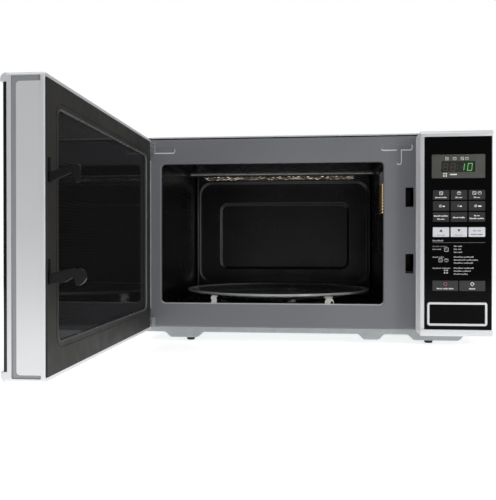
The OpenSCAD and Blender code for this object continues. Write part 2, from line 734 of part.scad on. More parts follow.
// Ring-shaped bezel with caps above and below the glass
module door_bezel() color("#bfc1c4") on_door() difference() {
    capped_slab(door_left, door_right, bezel_back);
    // hollow open towards the oven
    box(door_left + bezel_side, door_right - bezel_wall, glass_back + 2.2, bezel_back + 1,
        panel_bottom + bezel_edge, panel_top - bezel_edge);
    // seat for the glass, and the viewing window
    box(door_left - 1, door_right + 1, door_front - 1, glass_back, insert_bottom, insert_top);
    slab(screen_left + 2, screen_right - 2, glass_back - 1, glass_back + 3,
        screen_bottom + 4, screen_top - 4, 8);
    // room for the hinge arms at the hinge side
    for (z = [panel_bottom + bezel_edge, panel_top - bezel_edge - notch_height])
        box(door_left - 1, door_left + bezel_side + 0.1, front - 11, bezel_back + 1, z, z + notch_height);
    // sunk panel and groove in the free edge
    sideways(door_right - 0.8, door_right + 1)
        round_rect(front - 27, front - 6.3, panel_bottom + 5.5, panel_top - 7, 4);
    box(door_right - 0.8, door_right + 1, front - 32, front - 29, panel_bottom + 3, panel_top - 3);
}

module door_glass() color("#08080a") on_door()
    slab(door_left + 0.2, door_right - 0.2, door_front, glass_back, insert_bottom, insert_top, 0.6);

// Steel frame with the folded choke channel around it, and the hinge lugs
module door_frame() color("#4c4c4a") on_door() difference() {
    union() {
        difference() {
            box(frame_left + 1, hook_x - 5.5, front - 18, front - 4,
                panel_bottom + 4.5, panel_top - 4.5);
            // the choke channel opens towards the oven
            difference() {
                box(frame_left + 2, hook_x - 6.5, front - 17, front - 3,
                    panel_bottom + 5.5, panel_top - 5.5);
                box(screen_left - 1, screen_right + 1, front - 19, front - 2,
                    screen_bottom - 1, screen_top + 1);
            }
        }
        for (z = [23, top - 13.5])
            box(left + 3, frame_left + 1.5, hinge_y - 3, hinge_y + 2.4, z, z + 1.5);
    }
    box(screen_left, screen_right, front - 20, front, screen_bottom, screen_top);
    rod_z(0, top, hinge_x, hinge_y, pin_radius + running_gap);
}

// Perforated steel sheet across the window
module door_screen() color("#2b2c2c") on_door() difference() {
    box(screen_left, screen_right, front - 9.6, front - 9, screen_bottom, screen_top);
    for (x = [screen_left + 16 : 9 : screen_right - 18], z = [screen_bottom + 16 : 34 : screen_top - 40])
        box(x, x + 5, front - 11, front - 8, z, z + 28);
}

// Dark plastic face that closes the choke channel
module choke_cover() color("#383735") on_door() difference() {
    slab(frame_left, door_right - bezel_wall - 0.3, front - 4, door_face,
        panel_bottom + 3.5, panel_top - 3.5, 2);
    slab(screen_left, screen_right, front - 5, front, screen_bottom, screen_top, 7);
    for (z = [upper_hook + 0.3, lower_hook + 1])
        box(hook_x - 3, hook_x + 3, front - 5, front, z, z + 20.4);
}

// Thin clear sheet sunk into the choke cover
module inner_window() color("#0d0d0e") on_door()
    slab(screen_left, screen_right, front - 5.2, front - 4, screen_bottom, screen_top, 6.5);

// Upper hook: an arm that rises to a square head with a narrow nose
module upper_profile() {
    z = upper_hook;
    polygon([[front - 12, z + 0.8], [front + 0.5, z + 0.8], [upper_tip - 7.1, z + 8],
        [upper_tip - 3.9, z], [upper_tip - 1.2, z], [upper_tip - 0.4, z + 5], [upper_tip, z + 9],
        [upper_tip, z + 13], [upper_tip - 1.6, z + 14.9], [upper_tip - 7.5, z + 14.9],
        [front + 0.5, z + 8.8], [front - 12, z + 8.8]]);
}

// Lower hook: longer, with a round head
module lower_profile() {
    z = lower_hook;
    polygon([[front - 12, z + 1.5], [front + 0.5, z + 1.5], [lower_tip - 18.5, z + 2.6],
        [lower_tip - 10.4, z + 6.6], [lower_tip - 8.4, z], [lower_tip - 5.8, z],
        [lower_tip - 2.4, z + 2.2], [lower_tip, z + 6], [lower_tip - 0.6, z + 9.9],
        [lower_tip - 2.6, z + 12.6], [lower_tip - 5.2, z + 13.9], [lower_tip - 12.3, z + 13.9],
        [front + 0.5, z + 10], [front - 12, z + 10]]);
}

// Both hooks and the bar between them, one moulding that slides up and down
module latch_hooks() color("#121212") on_door() sideways(hook_x - hook_half, hook_x + hook_half) {
    upper_profile();
    lower_profile();
    translate([front - 18, lower_hook - 4]) square([7, upper_hook - lower_hook + 22]);
}

// Closed coils that pull the hooks down
module latch_spring() color("#a8aaac") on_door() {
    for (i = [0 : 9]) translate([hook_x, front - 24, 116 + 2.4 * i])
        rotate_extrude($fn = 32) translate([2.6, 0]) circle(r = 0.7, $fn = 16);
    rod_z(114, 140, hook_x, front - 24, 2.2);
}

base_plate();
feet();
front_plate();
cavity();
waveguide_cover();
wrap_cover();
rear_panel();
case_screws();
upper_hinge();
lower_hinge();
control_fascia();
panel_insert();
display_window();
display_module();
control_board();
microwave_key();
grill_key();
combination_key();
ten_minute_key();
one_minute_key();
ten_second_key();
defrost_key();
weight_key();
menu_key();
increase_key();
decrease_key();
clock_key();
stop_key();
start_key();
release_button();
release_slide();
latch_board();
interlock_switches();
magnetron();
high_voltage_transformer();
high_voltage_capacitor();
high_voltage_diode();
fan_motor();
fan_shroud();
fan_blade();
oven_lamp();
grill_heater();
heater_housing();
noise_filter();
cord_inlet();
turntable_motor();
drive_coupler();
glass_turntable();
roller_ring();
roller_1();
roller_2();
roller_3();
door_bezel();
door_glass();
door_frame();
choke_cover();
door_screen();
inner_window();
latch_hooks();
latch_spring();
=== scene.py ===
"""Looks of a compact microwave oven with its door open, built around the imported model.

Lengths are in millimetres until a mesh is finished; the scene itself is in metres.
The door's pieces are built shut, as they sit against the oven, and then turned to where
the door stands.
"""

import json
import math

import bmesh
import bpy
from mathutils import Matrix, Vector

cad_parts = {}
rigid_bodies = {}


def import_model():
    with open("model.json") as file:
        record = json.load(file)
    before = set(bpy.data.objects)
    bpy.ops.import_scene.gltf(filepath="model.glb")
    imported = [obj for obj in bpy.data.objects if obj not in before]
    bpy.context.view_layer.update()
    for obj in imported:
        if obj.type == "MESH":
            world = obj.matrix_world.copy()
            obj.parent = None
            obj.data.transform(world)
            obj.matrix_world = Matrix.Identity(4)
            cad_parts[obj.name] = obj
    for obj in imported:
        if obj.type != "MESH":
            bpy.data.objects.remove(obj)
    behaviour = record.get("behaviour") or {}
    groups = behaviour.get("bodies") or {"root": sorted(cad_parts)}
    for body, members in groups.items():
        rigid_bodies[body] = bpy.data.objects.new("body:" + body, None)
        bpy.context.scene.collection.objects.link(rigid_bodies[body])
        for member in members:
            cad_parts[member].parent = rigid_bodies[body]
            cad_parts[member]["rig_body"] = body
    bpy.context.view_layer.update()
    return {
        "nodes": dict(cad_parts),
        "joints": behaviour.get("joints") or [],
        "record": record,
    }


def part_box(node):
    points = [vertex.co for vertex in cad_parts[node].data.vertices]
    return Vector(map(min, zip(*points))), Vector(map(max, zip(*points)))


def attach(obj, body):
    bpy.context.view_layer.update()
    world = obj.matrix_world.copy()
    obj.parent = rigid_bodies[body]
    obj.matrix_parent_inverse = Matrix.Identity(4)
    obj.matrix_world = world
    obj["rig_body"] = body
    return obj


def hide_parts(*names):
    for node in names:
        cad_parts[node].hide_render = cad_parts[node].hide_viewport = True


for leftover in list(bpy.data.objects):
    bpy.data.objects.remove(leftover)
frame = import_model()
MM = 0.001
joints = {joint["name"]: joint for joint in frame["joints"]}


# ---------------- places

def mm_box(node):
    """Lowest and highest corner of a node in millimetres."""
    low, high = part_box(node)
    return low / MM, high / MM


hinge = Vector(joints["door_swing"]["pos_m"]) / MM
HINGE_X, HINGE_Y = hinge.x, hinge.y
OPEN_DOOR = (Matrix.Translation((HINGE_X, HINGE_Y, 0)) @ Matrix.Rotation(math.radians(-90), 4, "Z")
             @ Matrix.Translation((-HINGE_X, -HINGE_Y, 0)))


def shut_box(node):
    """Box of a door node in millimetres, with the door shut."""
    low, high = mm_box(node)
    corners = [OPEN_DOOR.inverted() @ corner for corner in (low, high)]
    return (Vector(map(min, *corners)), Vector(map(max, *corners)))


def middle_of(node):
    """Centre of a node's box in millimetres."""
    low, high = mm_box(node)
    return (low + high) / 2


# ---------------- outlines and solids

def round_rect(x0, x1, z0, z1, r, steps=6):
    """Rectangle with round corners, as points that run anticlockwise."""
    points = []
    corners = ((x1 - r, z0 + r, -90), (x1 - r, z1 - r, 0), (x0 + r, z1 - r, 90), (x0 + r, z0 + r, 180))
    for cx, cz, start in corners:
        for i in range(steps + 1):
            a = math.radians(start + 90 * i / steps)
            points.append((cx + r * math.cos(a), cz + r * math.sin(a)))
    return points


def circle(cx, cz, r, steps=24):
    turns = [2 * math.pi * i / steps for i in range(steps)]
    return [(cx + r * math.cos(a), cz + r * math.sin(a)) for a in turns]


def facing_y(a, depth, b):
    return (a, depth, b)


def facing_x(a, depth, b):
    return (depth, a, b)


def facing_z(a, depth, b):
    return (a, b, depth)


def bridge(bm, a, b):
    """Faces between two closed loops that have the same number of vertices."""
    return [bm.faces.new(corners) for corners in zip(a, a[1:] + a[:1], b[1:] + b[:1], b)]


def loft(bm, rings, material=0):
    """Closed skin over rings that have the same number of points."""
    loops = [[bm.verts.new(point) for point in ring] for ring in rings]
    faces = [bm.faces.new(loops[0]), bm.faces.new(loops[-1])]
    for a, b in zip(loops, loops[1:]):
        faces += bridge(bm, a, b)
    for face in faces:
        face.material_index = material


def edge_rings(d0, d1, edge0, edge1, steps=3):
    """(depth, grow) pairs that round a block's two faces over with radii edge0 and edge1."""
    rings = []
    for i in range(steps + 1 if edge0 else 1):
        a = math.pi / 2 * i / steps if edge0 else math.pi / 2
        rings.append((d0 + edge0 * (1 - math.cos(a)), -edge0 * (1 - math.sin(a))))
    for i in range(steps + 1 if edge1 else 1):
        a = math.pi / 2 * (1 - i / steps) if edge1 else math.pi / 2
        rings.append((d1 - edge1 * (1 - math.cos(a)), -edge1 * (1 - math.sin(a))))
    return rings


def stepped(box, r, y, profile, facing=facing_y, steps=6):
    """Rings of a round rectangle, one for each (depth, grow) pair, with depths from y."""
    x0, x1, z0, z1 = box
    return [[facing(a, y + depth, b) for a, b in round_rect(x0 - grow, x1 + grow, z0 - grow, z1 + grow,
                                                            max(r + grow, 0.02), steps)]
            for depth, grow in profile]


def slab(bm, x0, x1, y0, y1, z0, z1, r, edge=0.3, back_edge=None, facing=facing_y, material=0):
    """Block with corners of radius r between depths y0 and y1, its faces rounded over."""
    profile = edge_rings(y0, y1, edge, edge if back_edge is None else back_edge)
    loft(bm, stepped((x0, x1, z0, z1), r, 0, profile, facing), material)


def fresh(draw, *shape, **options):
    """New mesh that holds what draw makes."""
    bm = bmesh.new()
    draw(bm, *shape, **options)
    return bm


def block(low, high, r, **options):
    """Block between two corners, in a mesh of its own."""
    return fresh(slab, low.x, high.x, low.y, high.y, low.z, high.z, r, **options)


def prism(bm, outline, d0, d1, facing=facing_y, material=0):
    loft(bm, [[facing(a, depth, b) for a, b in outline] for depth in (d0, d1)], material)


def lathe(bm, profile, centre, axis="z", steps=48, material=0):
    """Closed (radius, height) profile turned about an axis through centre."""
    cx, cy, cz = centre
    rings = []
    for i in range(steps):
        a = 2 * math.pi * i / steps
        c, s = math.cos(a), math.sin(a)
        place = {"x": lambda r, h: (cx + h, cy + r * c, cz + r * s),
                 "y": lambda r, h: (cx + r * c, cy + h, cz + r * s),
                 "z": lambda r, h: (cx + r * c, cy + r * s, cz + h)}[axis]
        rings.append([place(max(r, 0.0), h) for r, h in profile])
    loops = [[bm.verts.new(point) for point in ring] for ring in rings]
    count = len(profile)
    for k in range(steps):
        a, b = loops[k], loops[(k + 1) % steps]
        for i in range(count):
            j = (i + 1) % count
            if profile[i][0] <= 0 and profile[j][0] <= 0:
                continue
            bm.faces.new((a[i], a[j], b[j], b[i])).material_index = material
    bmesh.ops.remove_doubles(bm, verts=[v for loop in loops for v in loop], dist=1e-4)


def tube(bm, path, r, sides=12, material=0):
    """Round wire along a path of points."""
    rings = []
    path = [Vector(p) for p in path]
    up = Vector((0.123, 0.251, 0.96)).normalized()
    for i, point in enumerate(path):
        along = (path[min(i + 1, len(path) - 1)] - path[max(i - 1, 0)]).normalized()
        side = along.cross(up).normalized()
        other = along.cross(side)
        rings.append([tuple(point + (side * math.cos(t) + other * math.sin(t)) * r)
                      for t in (2 * math.pi * k / sides for k in range(sides))])
    loft(bm, rings, material)


# ---------------- finished pieces

def mesh_object(name, bm):
    bmesh.ops.recalc_face_normals(bm, faces=bm.faces)
    mesh = bpy.data.meshes.new(name)
    bm.to_mesh(mesh)
    bm.free()
    made = bpy.data.objects.new(name, mesh)
    bpy.context.scene.collection.objects.link(made)
    return made


def combine(bm, tool, operation="DIFFERENCE", overlapping=False):
    """Solid bm with the solid tool cut from it or joined to it."""
    body, other = mesh_object("combine_body", bm), mesh_object("combine_tool", tool)
    modifier = body.modifiers.new("combine", "BOOLEAN")
    modifier.operation = operation
    modifier.solver = "EXACT"
    modifier.use_self = overlapping
    modifier.object = other
    result = bmesh.new()
    result.from_mesh(body.evaluated_get(bpy.context.evaluated_depsgraph_get()).data)
    for scrap in (body, other):
        mesh = scrap.data
        bpy.data.objects.remove(scrap)
        bpy.data.meshes.remove(mesh)
    return result


def cut(bm, *box, edge=0, **options):
    """Solid bm with a block cut from it."""
    return combine(bm, fresh(slab, *box, edge=edge, **options))


def shade(bm, material, chosen):
    """Gives a material to the faces that are chosen."""
    bm.normal_update()
    for face in bm.faces:
        if chosen(face):
            face.material_index = material


def soften(bm, width, angle=35, segments=2, where=None):
    """Rounds over the edges that are sharper than angle."""
    bmesh.ops.dissolve_limit(bm, angle_limit=math.radians(1), verts=bm.verts, edges=bm.edges,
                             delimit={"MATERIAL"})
    bmesh.ops.recalc_face_normals(bm, faces=bm.faces)
    sharp = [e for e in bm.edges if len(e.link_faces) == 2
             and e.calc_face_angle(0) > math.radians(angle) and (where is None or where(e))]
    bmesh.ops.bevel(bm, geom=sharp, offset=width, segments=segments, profile=0.5, affect="EDGES",
                    clamp_overlap=True)
    return bm


def piece(name, bm, body, materials, replaces=(), shut=False, crease=38):
    """Turns a bmesh in millimetres into a piece that rides on a body."""
    if shut:
        bm.transform(OPEN_DOOR)
    bm.transform(Matrix.Scale(MM, 4))
    made = mesh_object(name, bm)
    made.data.shade_smooth()
    made.data.set_sharp_from_angle(angle=math.radians(crease))
    normals = made.modifiers.new("normals", "WEIGHTED_NORMAL")
    normals.keep_sharp = True
    for material in materials if isinstance(materials, (list, tuple)) else [materials]:
        made.data.materials.append(material)
    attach(made, body)
    if replaces:
        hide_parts(*replaces)
    return made


# ---------------- materials

def srgb(text):
    """Linear colour of a six-digit hexadecimal one."""
    channels = [int(text[i:i + 2], 16) / 255 for i in (0, 2, 4)]
    return tuple(c / 12.92 if c <= 0.04045 else ((c + 0.055) / 1.055) ** 2.4 for c in channels)


def tone(colour, factor, lift=0.0):
    """Colour made lighter or darker."""
    return tuple(min(1, c * factor + lift) for c in colour)


class Finish:
    """Node material with a mottled colour, an uneven roughness and a fine relief."""

    def __init__(self, name, colour, rough, metal=0.0, specular=0.5, coat=0.0):
        self.made = bpy.data.materials.new(name)
        self.made.use_nodes = True
        self.tree = self.made.node_tree
        self.shader = self.tree.nodes["Principled BSDF"]
        self.colour, self.rough = srgb(colour), rough
        self.set("Base Color", (*self.colour, 1)).set("Roughness", rough).set("Metallic", metal)
        self.set("Specular IOR Level", specular).set("Coat Weight", coat).set("Coat Roughness", 0.06)
        self.relief = None

    def set(self, socket, value):
        self.shader.inputs[socket].default_value = value
        return self

    def node(self, kind, **settings):
        made = self.tree.nodes.new(kind)
        for key, value in settings.items():
            if key in made.inputs:
                made.inputs[key].default_value = value
            else:
                setattr(made, key, value)
        return made

    def link(self, output, target):
        self.tree.links.new(output, target)

    def noise(self, scale, detail=3.0, stretch=(1, 1, 1)):
        """Noise in object space; scale is in features a metre."""
        place = self.node("ShaderNodeTexCoord")
        mapping = self.node("ShaderNodeMapping", Scale=stretch)
        self.link(place.outputs["Object"], mapping.inputs["Vector"])
        made = self.node("ShaderNodeTexNoise", Scale=scale, Detail=detail)
        self.link(mapping.outputs["Vector"], made.inputs["Vector"])
        return made.outputs["Fac"]

    def cells(self, scale):
        place = self.node("ShaderNodeTexCoord")
        made = self.node("ShaderNodeTexVoronoi", Scale=scale)
        self.link(place.outputs["Object"], made.inputs["Vector"])
        return made

    def spread(self, source, low, high, from_low=0.3, from_high=0.7):
        limits = {"From Min": from_low, "From Max": from_high, "To Min": low, "To Max": high}
        made = self.node("ShaderNodeMapRange", **limits)
        self.link(source, made.inputs["Value"])
        return made.outputs["Result"]

    def blend(self, factor, first, second):
        """Colour between two, each a colour or an output."""
        made = self.node("ShaderNodeMix", data_type="RGBA")
        self.link(factor, made.inputs["Factor"])
        for value, target in ((first, made.inputs[6]), (second, made.inputs[7])):
            if isinstance(value, tuple):
                target.default_value = (*value, 1)
            else:
                self.link(value, target)
        return made.outputs[2]

    def paint(self, factor, first, second):
        """Colours the surface with a blend of two colours."""
        self.link(self.blend(factor, first, second), self.shader.inputs["Base Color"])
        return self

    def mottle(self, scale, amount, stretch=(1, 1, 1)):
        """Lets the colour drift lighter and darker."""
        factor = self.spread(self.noise(scale, 4, stretch), 0, 1)
        return self.paint(factor, tone(self.colour, 1 - amount), tone(self.colour, 1 + amount))

    def uneven(self, scale, amount, stretch=(1, 1, 1)):
        """Lets the roughness drift by amount either way."""
        source = self.noise(scale, 4, stretch)
        low, high = max(0.01, self.rough - amount), min(1, self.rough + amount)
        self.link(self.spread(source, low, high), self.shader.inputs["Roughness"])
        return self

    def bump(self, source, height):
        """Adds relief of a height in millimetres."""
        made = self.node("ShaderNodeBump", Distance=height * MM, Strength=1.0)
        self.link(source, made.inputs["Height"])
        if self.relief is not None:
            self.link(self.relief, made.inputs["Normal"])
        self.relief = made.outputs["Normal"]
        self.link(self.relief, self.shader.inputs["Normal"])
        return self

    def grain(self, scale, height, detail=2.0, stretch=(1, 1, 1)):
        return self.bump(self.noise(scale, detail, stretch), height)

    def glow(self, colour, strength):
        return self.set("Emission Color", (*colour, 1)).set("Emission Strength", strength)


def powder_coat(name, colour):
    """Satin paint on sheet steel, with the slight pebbling of a powder coat."""
    finish = Finish(name, colour, 0.42, specular=0.4)
    return finish.mottle(9, 0.05).uneven(24, 0.05).grain(700, 0.012).grain(90, 0.02).made


def enamel(name, colour, rough):
    """Glossy vitreous enamel with orange peel and fine specks."""
    finish = Finish(name, colour, rough, specular=0.35)
    specks = finish.spread(finish.cells(900).outputs["Distance"], 1, 0, 0.03, 0.09)
    finish.paint(specks, finish.colour, tone(finish.colour, 3, 0.02))
    return finish.uneven(30, 0.05).grain(110, 0.02).grain(1500, 0.003).made


def silver_paint(name, colour, rough=0.3, metal=0.35):
    """Moulding sprayed silver, with tiny flakes."""
    finish = Finish(name, colour, rough, metal=metal)
    flakes = finish.spread(finish.cells(2600).outputs["Color"], 0, 1, 0, 1)
    finish.paint(flakes, tone(finish.colour, 0.98), tone(finish.colour, 1.02))
    return finish.uneven(40, 0.02).grain(1800, 0.001).made


def moulding(name, colour, rough=0.5, grain=0.012, specular=0.5, mottle=0.06):
    """Plastic with a spark-eroded mould texture."""
    finish = Finish(name, colour, rough, specular=specular)
    return finish.mottle(18, mottle).uneven(60, 0.06).grain(1400, grain).made


def gloss(name, colour, rough=0.05, specular=0.5):
    """Polished plastic or back-printed glass, with faint wipe marks and dust."""
    finish = Finish(name, colour, rough, specular=specular)
    finish.uneven(14, rough * 0.7, stretch=(1, 1, 2.5))
    dust = finish.spread(finish.noise(2200, 1), 0, 1, 0.72, 0.8)
    finish.paint(dust, finish.colour, tone(finish.colour, 1, 0.012))
    return finish.grain(25, 0.01).made


def rolled_steel(name, colour, rough=0.32, along=(1, 40, 1)):
    """Bare sheet with its rolling marks along one axis."""
    finish = Finish(name, colour, rough, metal=1.0)
    finish.mottle(40, 0.1, stretch=along).uneven(60, 0.08, stretch=along)
    return finish.grain(120, 0.006, stretch=along).made


def galvanised(name, colour):
    """Zinc-coated sheet with its spangle."""
    finish = Finish(name, colour, 0.42, metal=0.55)
    spangle = finish.spread(finish.cells(140).outputs["Color"], 0, 1, 0, 1)
    finish.paint(spangle, tone(finish.colour, 0.94), tone(finish.colour, 1.05))
    return finish.uneven(90, 0.08).grain(300, 0.006).made


def clear(name, colour, rough=0.03, alpha=None, transmission=1.0, specular=0.5):
    """Glass, or a thin film when alpha is given."""
    finish = Finish(name, colour, rough, specular=specular).set("IOR", 1.5)
    if alpha is None:
        finish.set("Transmission Weight", transmission)
    else:
        finish.set("Alpha", alpha)
    return finish.uneven(20, rough * 0.6).grain(30, 0.01).made


def lit(name, colour, strength, patches=0):
    """Surface lit from close by, unevenly when patches gives features a metre."""
    finish = Finish(name, colour, 0.4)
    bright, finish.colour = finish.colour, tone(finish.colour, 0.4)
    finish.mottle(200, 0.1).glow(bright, strength)
    if patches:
        uneven = finish.spread(finish.noise(patches, 1), 0, strength, 0.5, 0.61)
        finish.link(uneven, finish.shader.inputs["Emission Strength"])
    return finish.made


def circuit_board(name, colour):
    """Solder mask with tracks under it."""
    finish = Finish(name, colour, 0.3)
    tracks = finish.spread(finish.cells(260).outputs["Distance"], 0, 1, 0.42, 0.5)
    return finish.paint(tracks, finish.colour, tone(finish.colour, 1.9)).bump(tracks, 0.03).made


def winding(name, colour):
    """Varnished copper wire in layers."""
    finish = Finish(name, colour, 0.35, metal=0.7)
    finish.mottle(200, 0.25, stretch=(1, 1, 8)).uneven(90, 0.1)
    return finish.grain(900, 0.1, stretch=(0.1, 0.1, 1)).made


GREY = powder_coat("grey_powder_coat", "6f7074")
# painted highlight: light grey for the front plate's edge faces that face the light
GREY_PAINTED_HIGHLIGHT = powder_coat("grey_pressed_edge", "c0c1c4")
BLACK_ENAMEL = enamel("black_enamel", "0f0f11", rough=0.24)
# painted highlight: lighter enamel for the back-wall step slopes that face the light
ENAMEL_PAINTED_HIGHLIGHT = enamel("enamel_step", "4a4a4c", rough=0.3)
COVER = powder_coat("cover_paint", "cdcfd1")
ZINC = galvanised("galvanised_steel", "a3a8a9")
STEEL = rolled_steel("bright_steel", "c4c6c8")
SILVER = silver_paint("silver_plastic", "d6d8da", metal=0.55)
SILVER_DOOR = silver_paint("silver_door", "e4e6e8", metal=0.45)
# painted light: near-white silver that lightens the fascia's left side
SILVER_PAINTED_LIGHT = silver_paint("silver_side", "f4f4f6", rough=0.5, metal=0.0)
# painted shade: darker silver for the channel in the door's free edge
SILVER_PAINTED_SHADE = silver_paint("silver_shaded", "a2a3a6", rough=0.4)
SILVER_LIGHT = silver_paint("silver_trim", "dadbdd")
GLOSS_BLACK = gloss("gloss_black", "070708", specular=0.06)
DARK = moulding("dark_plastic", "2a2927", rough=0.5, mottle=0.08, specular=0.2)
BLACK = moulding("black_plastic", "0f0f0f", rough=0.3, grain=0.004, specular=0.3)
BUTTON = moulding("button_black", "080809", rough=0.3, grain=0.003, specular=0.05)
KEY_GREY = moulding("key_grey", "262627", grain=0.006, specular=0.25)
KEY_WIDE = moulding("key_wide_grey", "343434", grain=0.006, specular=0.25)
KEY_LIGHT = moulding("key_light", "cfd0d4", rough=0.4, grain=0.006, mottle=0.03)
PRINT_WHITE = moulding("print_white", "ececec", rough=0.6, mottle=0.04)
PRINT_SOFT = moulding("print_soft", "b4b4b4", rough=0.6)
PRINT_GREY = moulding("print_grey", "7a7a7a", rough=0.6)
PRINT_DARK = moulding("print_dark", "1c1c1e", rough=0.6)
PRINT_PINK = moulding("print_pink", "c8687e", rough=0.6)
LENS_MASK = moulding("lens_mask", "4f4f4a", rough=0.35, grain=0.003, mottle=0.08)
LENS = clear("lens_clear", "1c1d1b", alpha=0.08)
LED_BLACK = gloss("led_black", "0b0d0a", rough=0.2)
LED_OFF = moulding("led_off", "45442c", rough=0.4)
LED_ON = lit("led_green", "6ad968", 0.6)
LAMP_EDGE = lit("lamp_lit_edge", "f6deb0", 1.5)
LAMP_DIM = lit("lamp_dim_edge", "a87850", 0.25)
GRILL_EDGE = lit("grill_lit_edge", "e6dac6", 1.7, patches=150)
ROLLED = moulding("rolled_edge", "e6e6e8", rough=0.35, grain=0.004)
# painted highlight: grey lighter than the dark moulding, for the window lip
LIP_PAINTED_HIGHLIGHT = moulding("dark_lip", "5a5a5c", rough=0.25, grain=0.004)
BOARD = circuit_board("circuit_board", "546a2c")
PALE = moulding("pale_plastic", "eeece4", rough=0.5, mottle=0.04)
# painted light: the roller wheels glow faintly so they stay white in the cavity's shade
WHEEL_PAINTED_GLOW = lit("wheel_white", "fbfaf4", 0.35)
COUPLER = moulding("coupler_grey", "55544f", rough=0.5)
FINS = rolled_steel("aluminium_fins", "c2c4c6", rough=0.28, along=(1, 1, 30))
COPPER = winding("copper_winding", "8d5a36")
RUBBER = moulding("foot_rubber", "1a1a1a", rough=0.75, grain=0.03)
MICA = moulding("mica_sheet", "35332e", rough=0.55, grain=0.05, mottle=0.18)
BULB = clear("lamp_glass", "ffe9bd", rough=0.1, alpha=0.6)
SHEATH = powder_coat("heater_sheath", "544a43")
PLATE_GLASS = clear("turntable_glass", "b4bdb9", rough=0.05, transmission=0.86)
# painted highlight: lighter, less clear glass for the tray's outer rim
PLATE_RIM_PAINTED_HIGHLIGHT = clear("turntable_rim", "dcdfdc", rough=0.12, transmission=0.45)
DOOR_GLASS = gloss("door_black_glass", "09090a", rough=0.03)
WINDOW = clear("window_film", "08080a", rough=0.03, alpha=0.55, specular=0.12)
SCREEN = powder_coat("screen_steel", "707070")


# ---------------- shared places

SHEET = 0.8
cover_low, cover_high = mm_box("wrap_cover")
cavity_low, cavity_high = mm_box("cavity")
plate_low, plate_high = mm_box("front_plate")
fascia_low, fascia_high = mm_box("control_fascia")
insert_low, insert_high = mm_box("panel_insert")
bezel_low, bezel_high = shut_box("door_bezel")

FRONT = plate_low.y
CAVITY_LEFT = cavity_low.x + SHEET
CAVITY_RIGHT = mm_box("waveguide_cover")[1].x
CAVITY_FLOOR = cavity_low.z + SHEET
CAVITY_TOP = cavity_high.z - SHEET
CAVITY_BACK = cavity_high.y - SHEET - 3.5
OPENING = (CAVITY_LEFT + 5, CAVITY_RIGHT - 8.5, CAVITY_FLOOR + 12.5, CAVITY_FLOOR + 194.5)


def grid(first, step, count):
    """Evenly spaced places."""
    return [first + step * i for i in range(count)]


def softened(node, materials, width=0.4, angle=35):
    """Copy of a CAD node's shape with its sharp edges rounded over."""
    bm = bmesh.new()
    bm.from_mesh(frame["nodes"][node].data)
    bm.transform(Matrix.Scale(1 / MM, 4))
    bmesh.ops.remove_doubles(bm, verts=bm.verts, dist=0.002)
    soften(bm, width, angle)
    return piece(node + "_rounded", bm, frame["nodes"][node]["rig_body"], materials, [node])


# ---------------- cabinet

def wrap_cover():
    """Sheet bent over the sides and the top, with louvred slots."""
    low, high, bend = cover_low, cover_high, 8

    def arch(inset):
        path = [(low.x + inset, low.z)]
        for cx, start in ((low.x + bend, 180), (high.x - bend, 90)):
            for i in range(9):
                a = math.radians(start - 90 * i / 8)
                r = bend - inset
                path.append((cx + r * math.cos(a), high.z - bend + r * math.sin(a)))
        return path + [(high.x - inset, low.z)]

    slots = bmesh.new()
    louvres = [(high.x, -1, z, y) for z in grid(60, 9, 8) for y in (20, 65)]
    louvres += [(low.x, 1, z, y) for z in grid(165, 9, 7) for y in (30, 75)]
    for x, inward, z, y in louvres:
        slab(slots, y, y + 36, x - 2, x + 2, z, z + 3.5, 1.6, edge=0, facing=facing_x)
    bm = combine(fresh(prism, arch(0) + arch(SHEET)[::-1], low.y, high.y), slots)
    for x, inward, z, y in louvres:
        near, far = x + inward * SHEET, x + inward * 4
        prism(bm, [(near, z + 3.4), (near, z + 4), (far, z + 0.8), (far, z + 0.2)], y + 0.5, y + 35.5)
    # hem rolled inward along the front edge of the top
    tube(bm, [(low.x + bend, low.y + 0.7, high.z - 1.2), (high.x - bend, low.y + 0.7, high.z - 1.2)], 0.5)
    piece("cover_shell", bm, "cabinet", COVER, ["wrap_cover"])


def rear_panel():
    """Back sheet with a fan grille, an outlet grille and pressed beads."""
    low, high = mm_box("rear_panel")
    fan, inlet = middle_of("fan_blade"), middle_of("cord_inlet")
    through = low.y - 1, high.y + 1
    slots = bmesh.new()
    for dz in grid(-36, 8, 10):
        half = math.sqrt(40 ** 2 - dz ** 2)
        for x0, x1 in ((fan.x - half, fan.x - 3), (fan.x + 3, fan.x + half)):
            slab(slots, x0, x1, *through, fan.z + dz - 2, fan.z + dz + 2, 1.9, edge=0)
    for x in grid(low.x + 40, 10, 9):
        slab(slots, x, x + 4, *through, 185, 225, 1.9, edge=0)
    prism(slots, circle(inlet.x, inlet.z, 7.95), *through)
    bm = combine(block(low, high, 8), slots)
    bead = [(46, -0.3), (46.6, 0.4), (47.5, 0.7), (48.4, 0.4), (49, -0.3)]
    lathe(bm, bead, (fan.x, high.y, fan.z), "y", 72)
    for z in (38, 250):
        slab(bm, low.x + 60, high.x - 90, high.y - 0.3, high.y + 0.7, z, z + 5, 2.4, edge=0.6)
    piece("rear_sheet", bm, "cabinet", ZINC, ["rear_panel"])


FLANGE_TOP = 22
DISH_SLOPE = 9
DISH_DEPTH = 7
FRONT_DISHES = ((26, 78), (278, 313), (341, 413))
REAR_DISHES = ((26, 78), (346, 406))


def smooth(t):
    t = max(0.0, min(1.0, t))
    return t * t * (3 - 2 * t)


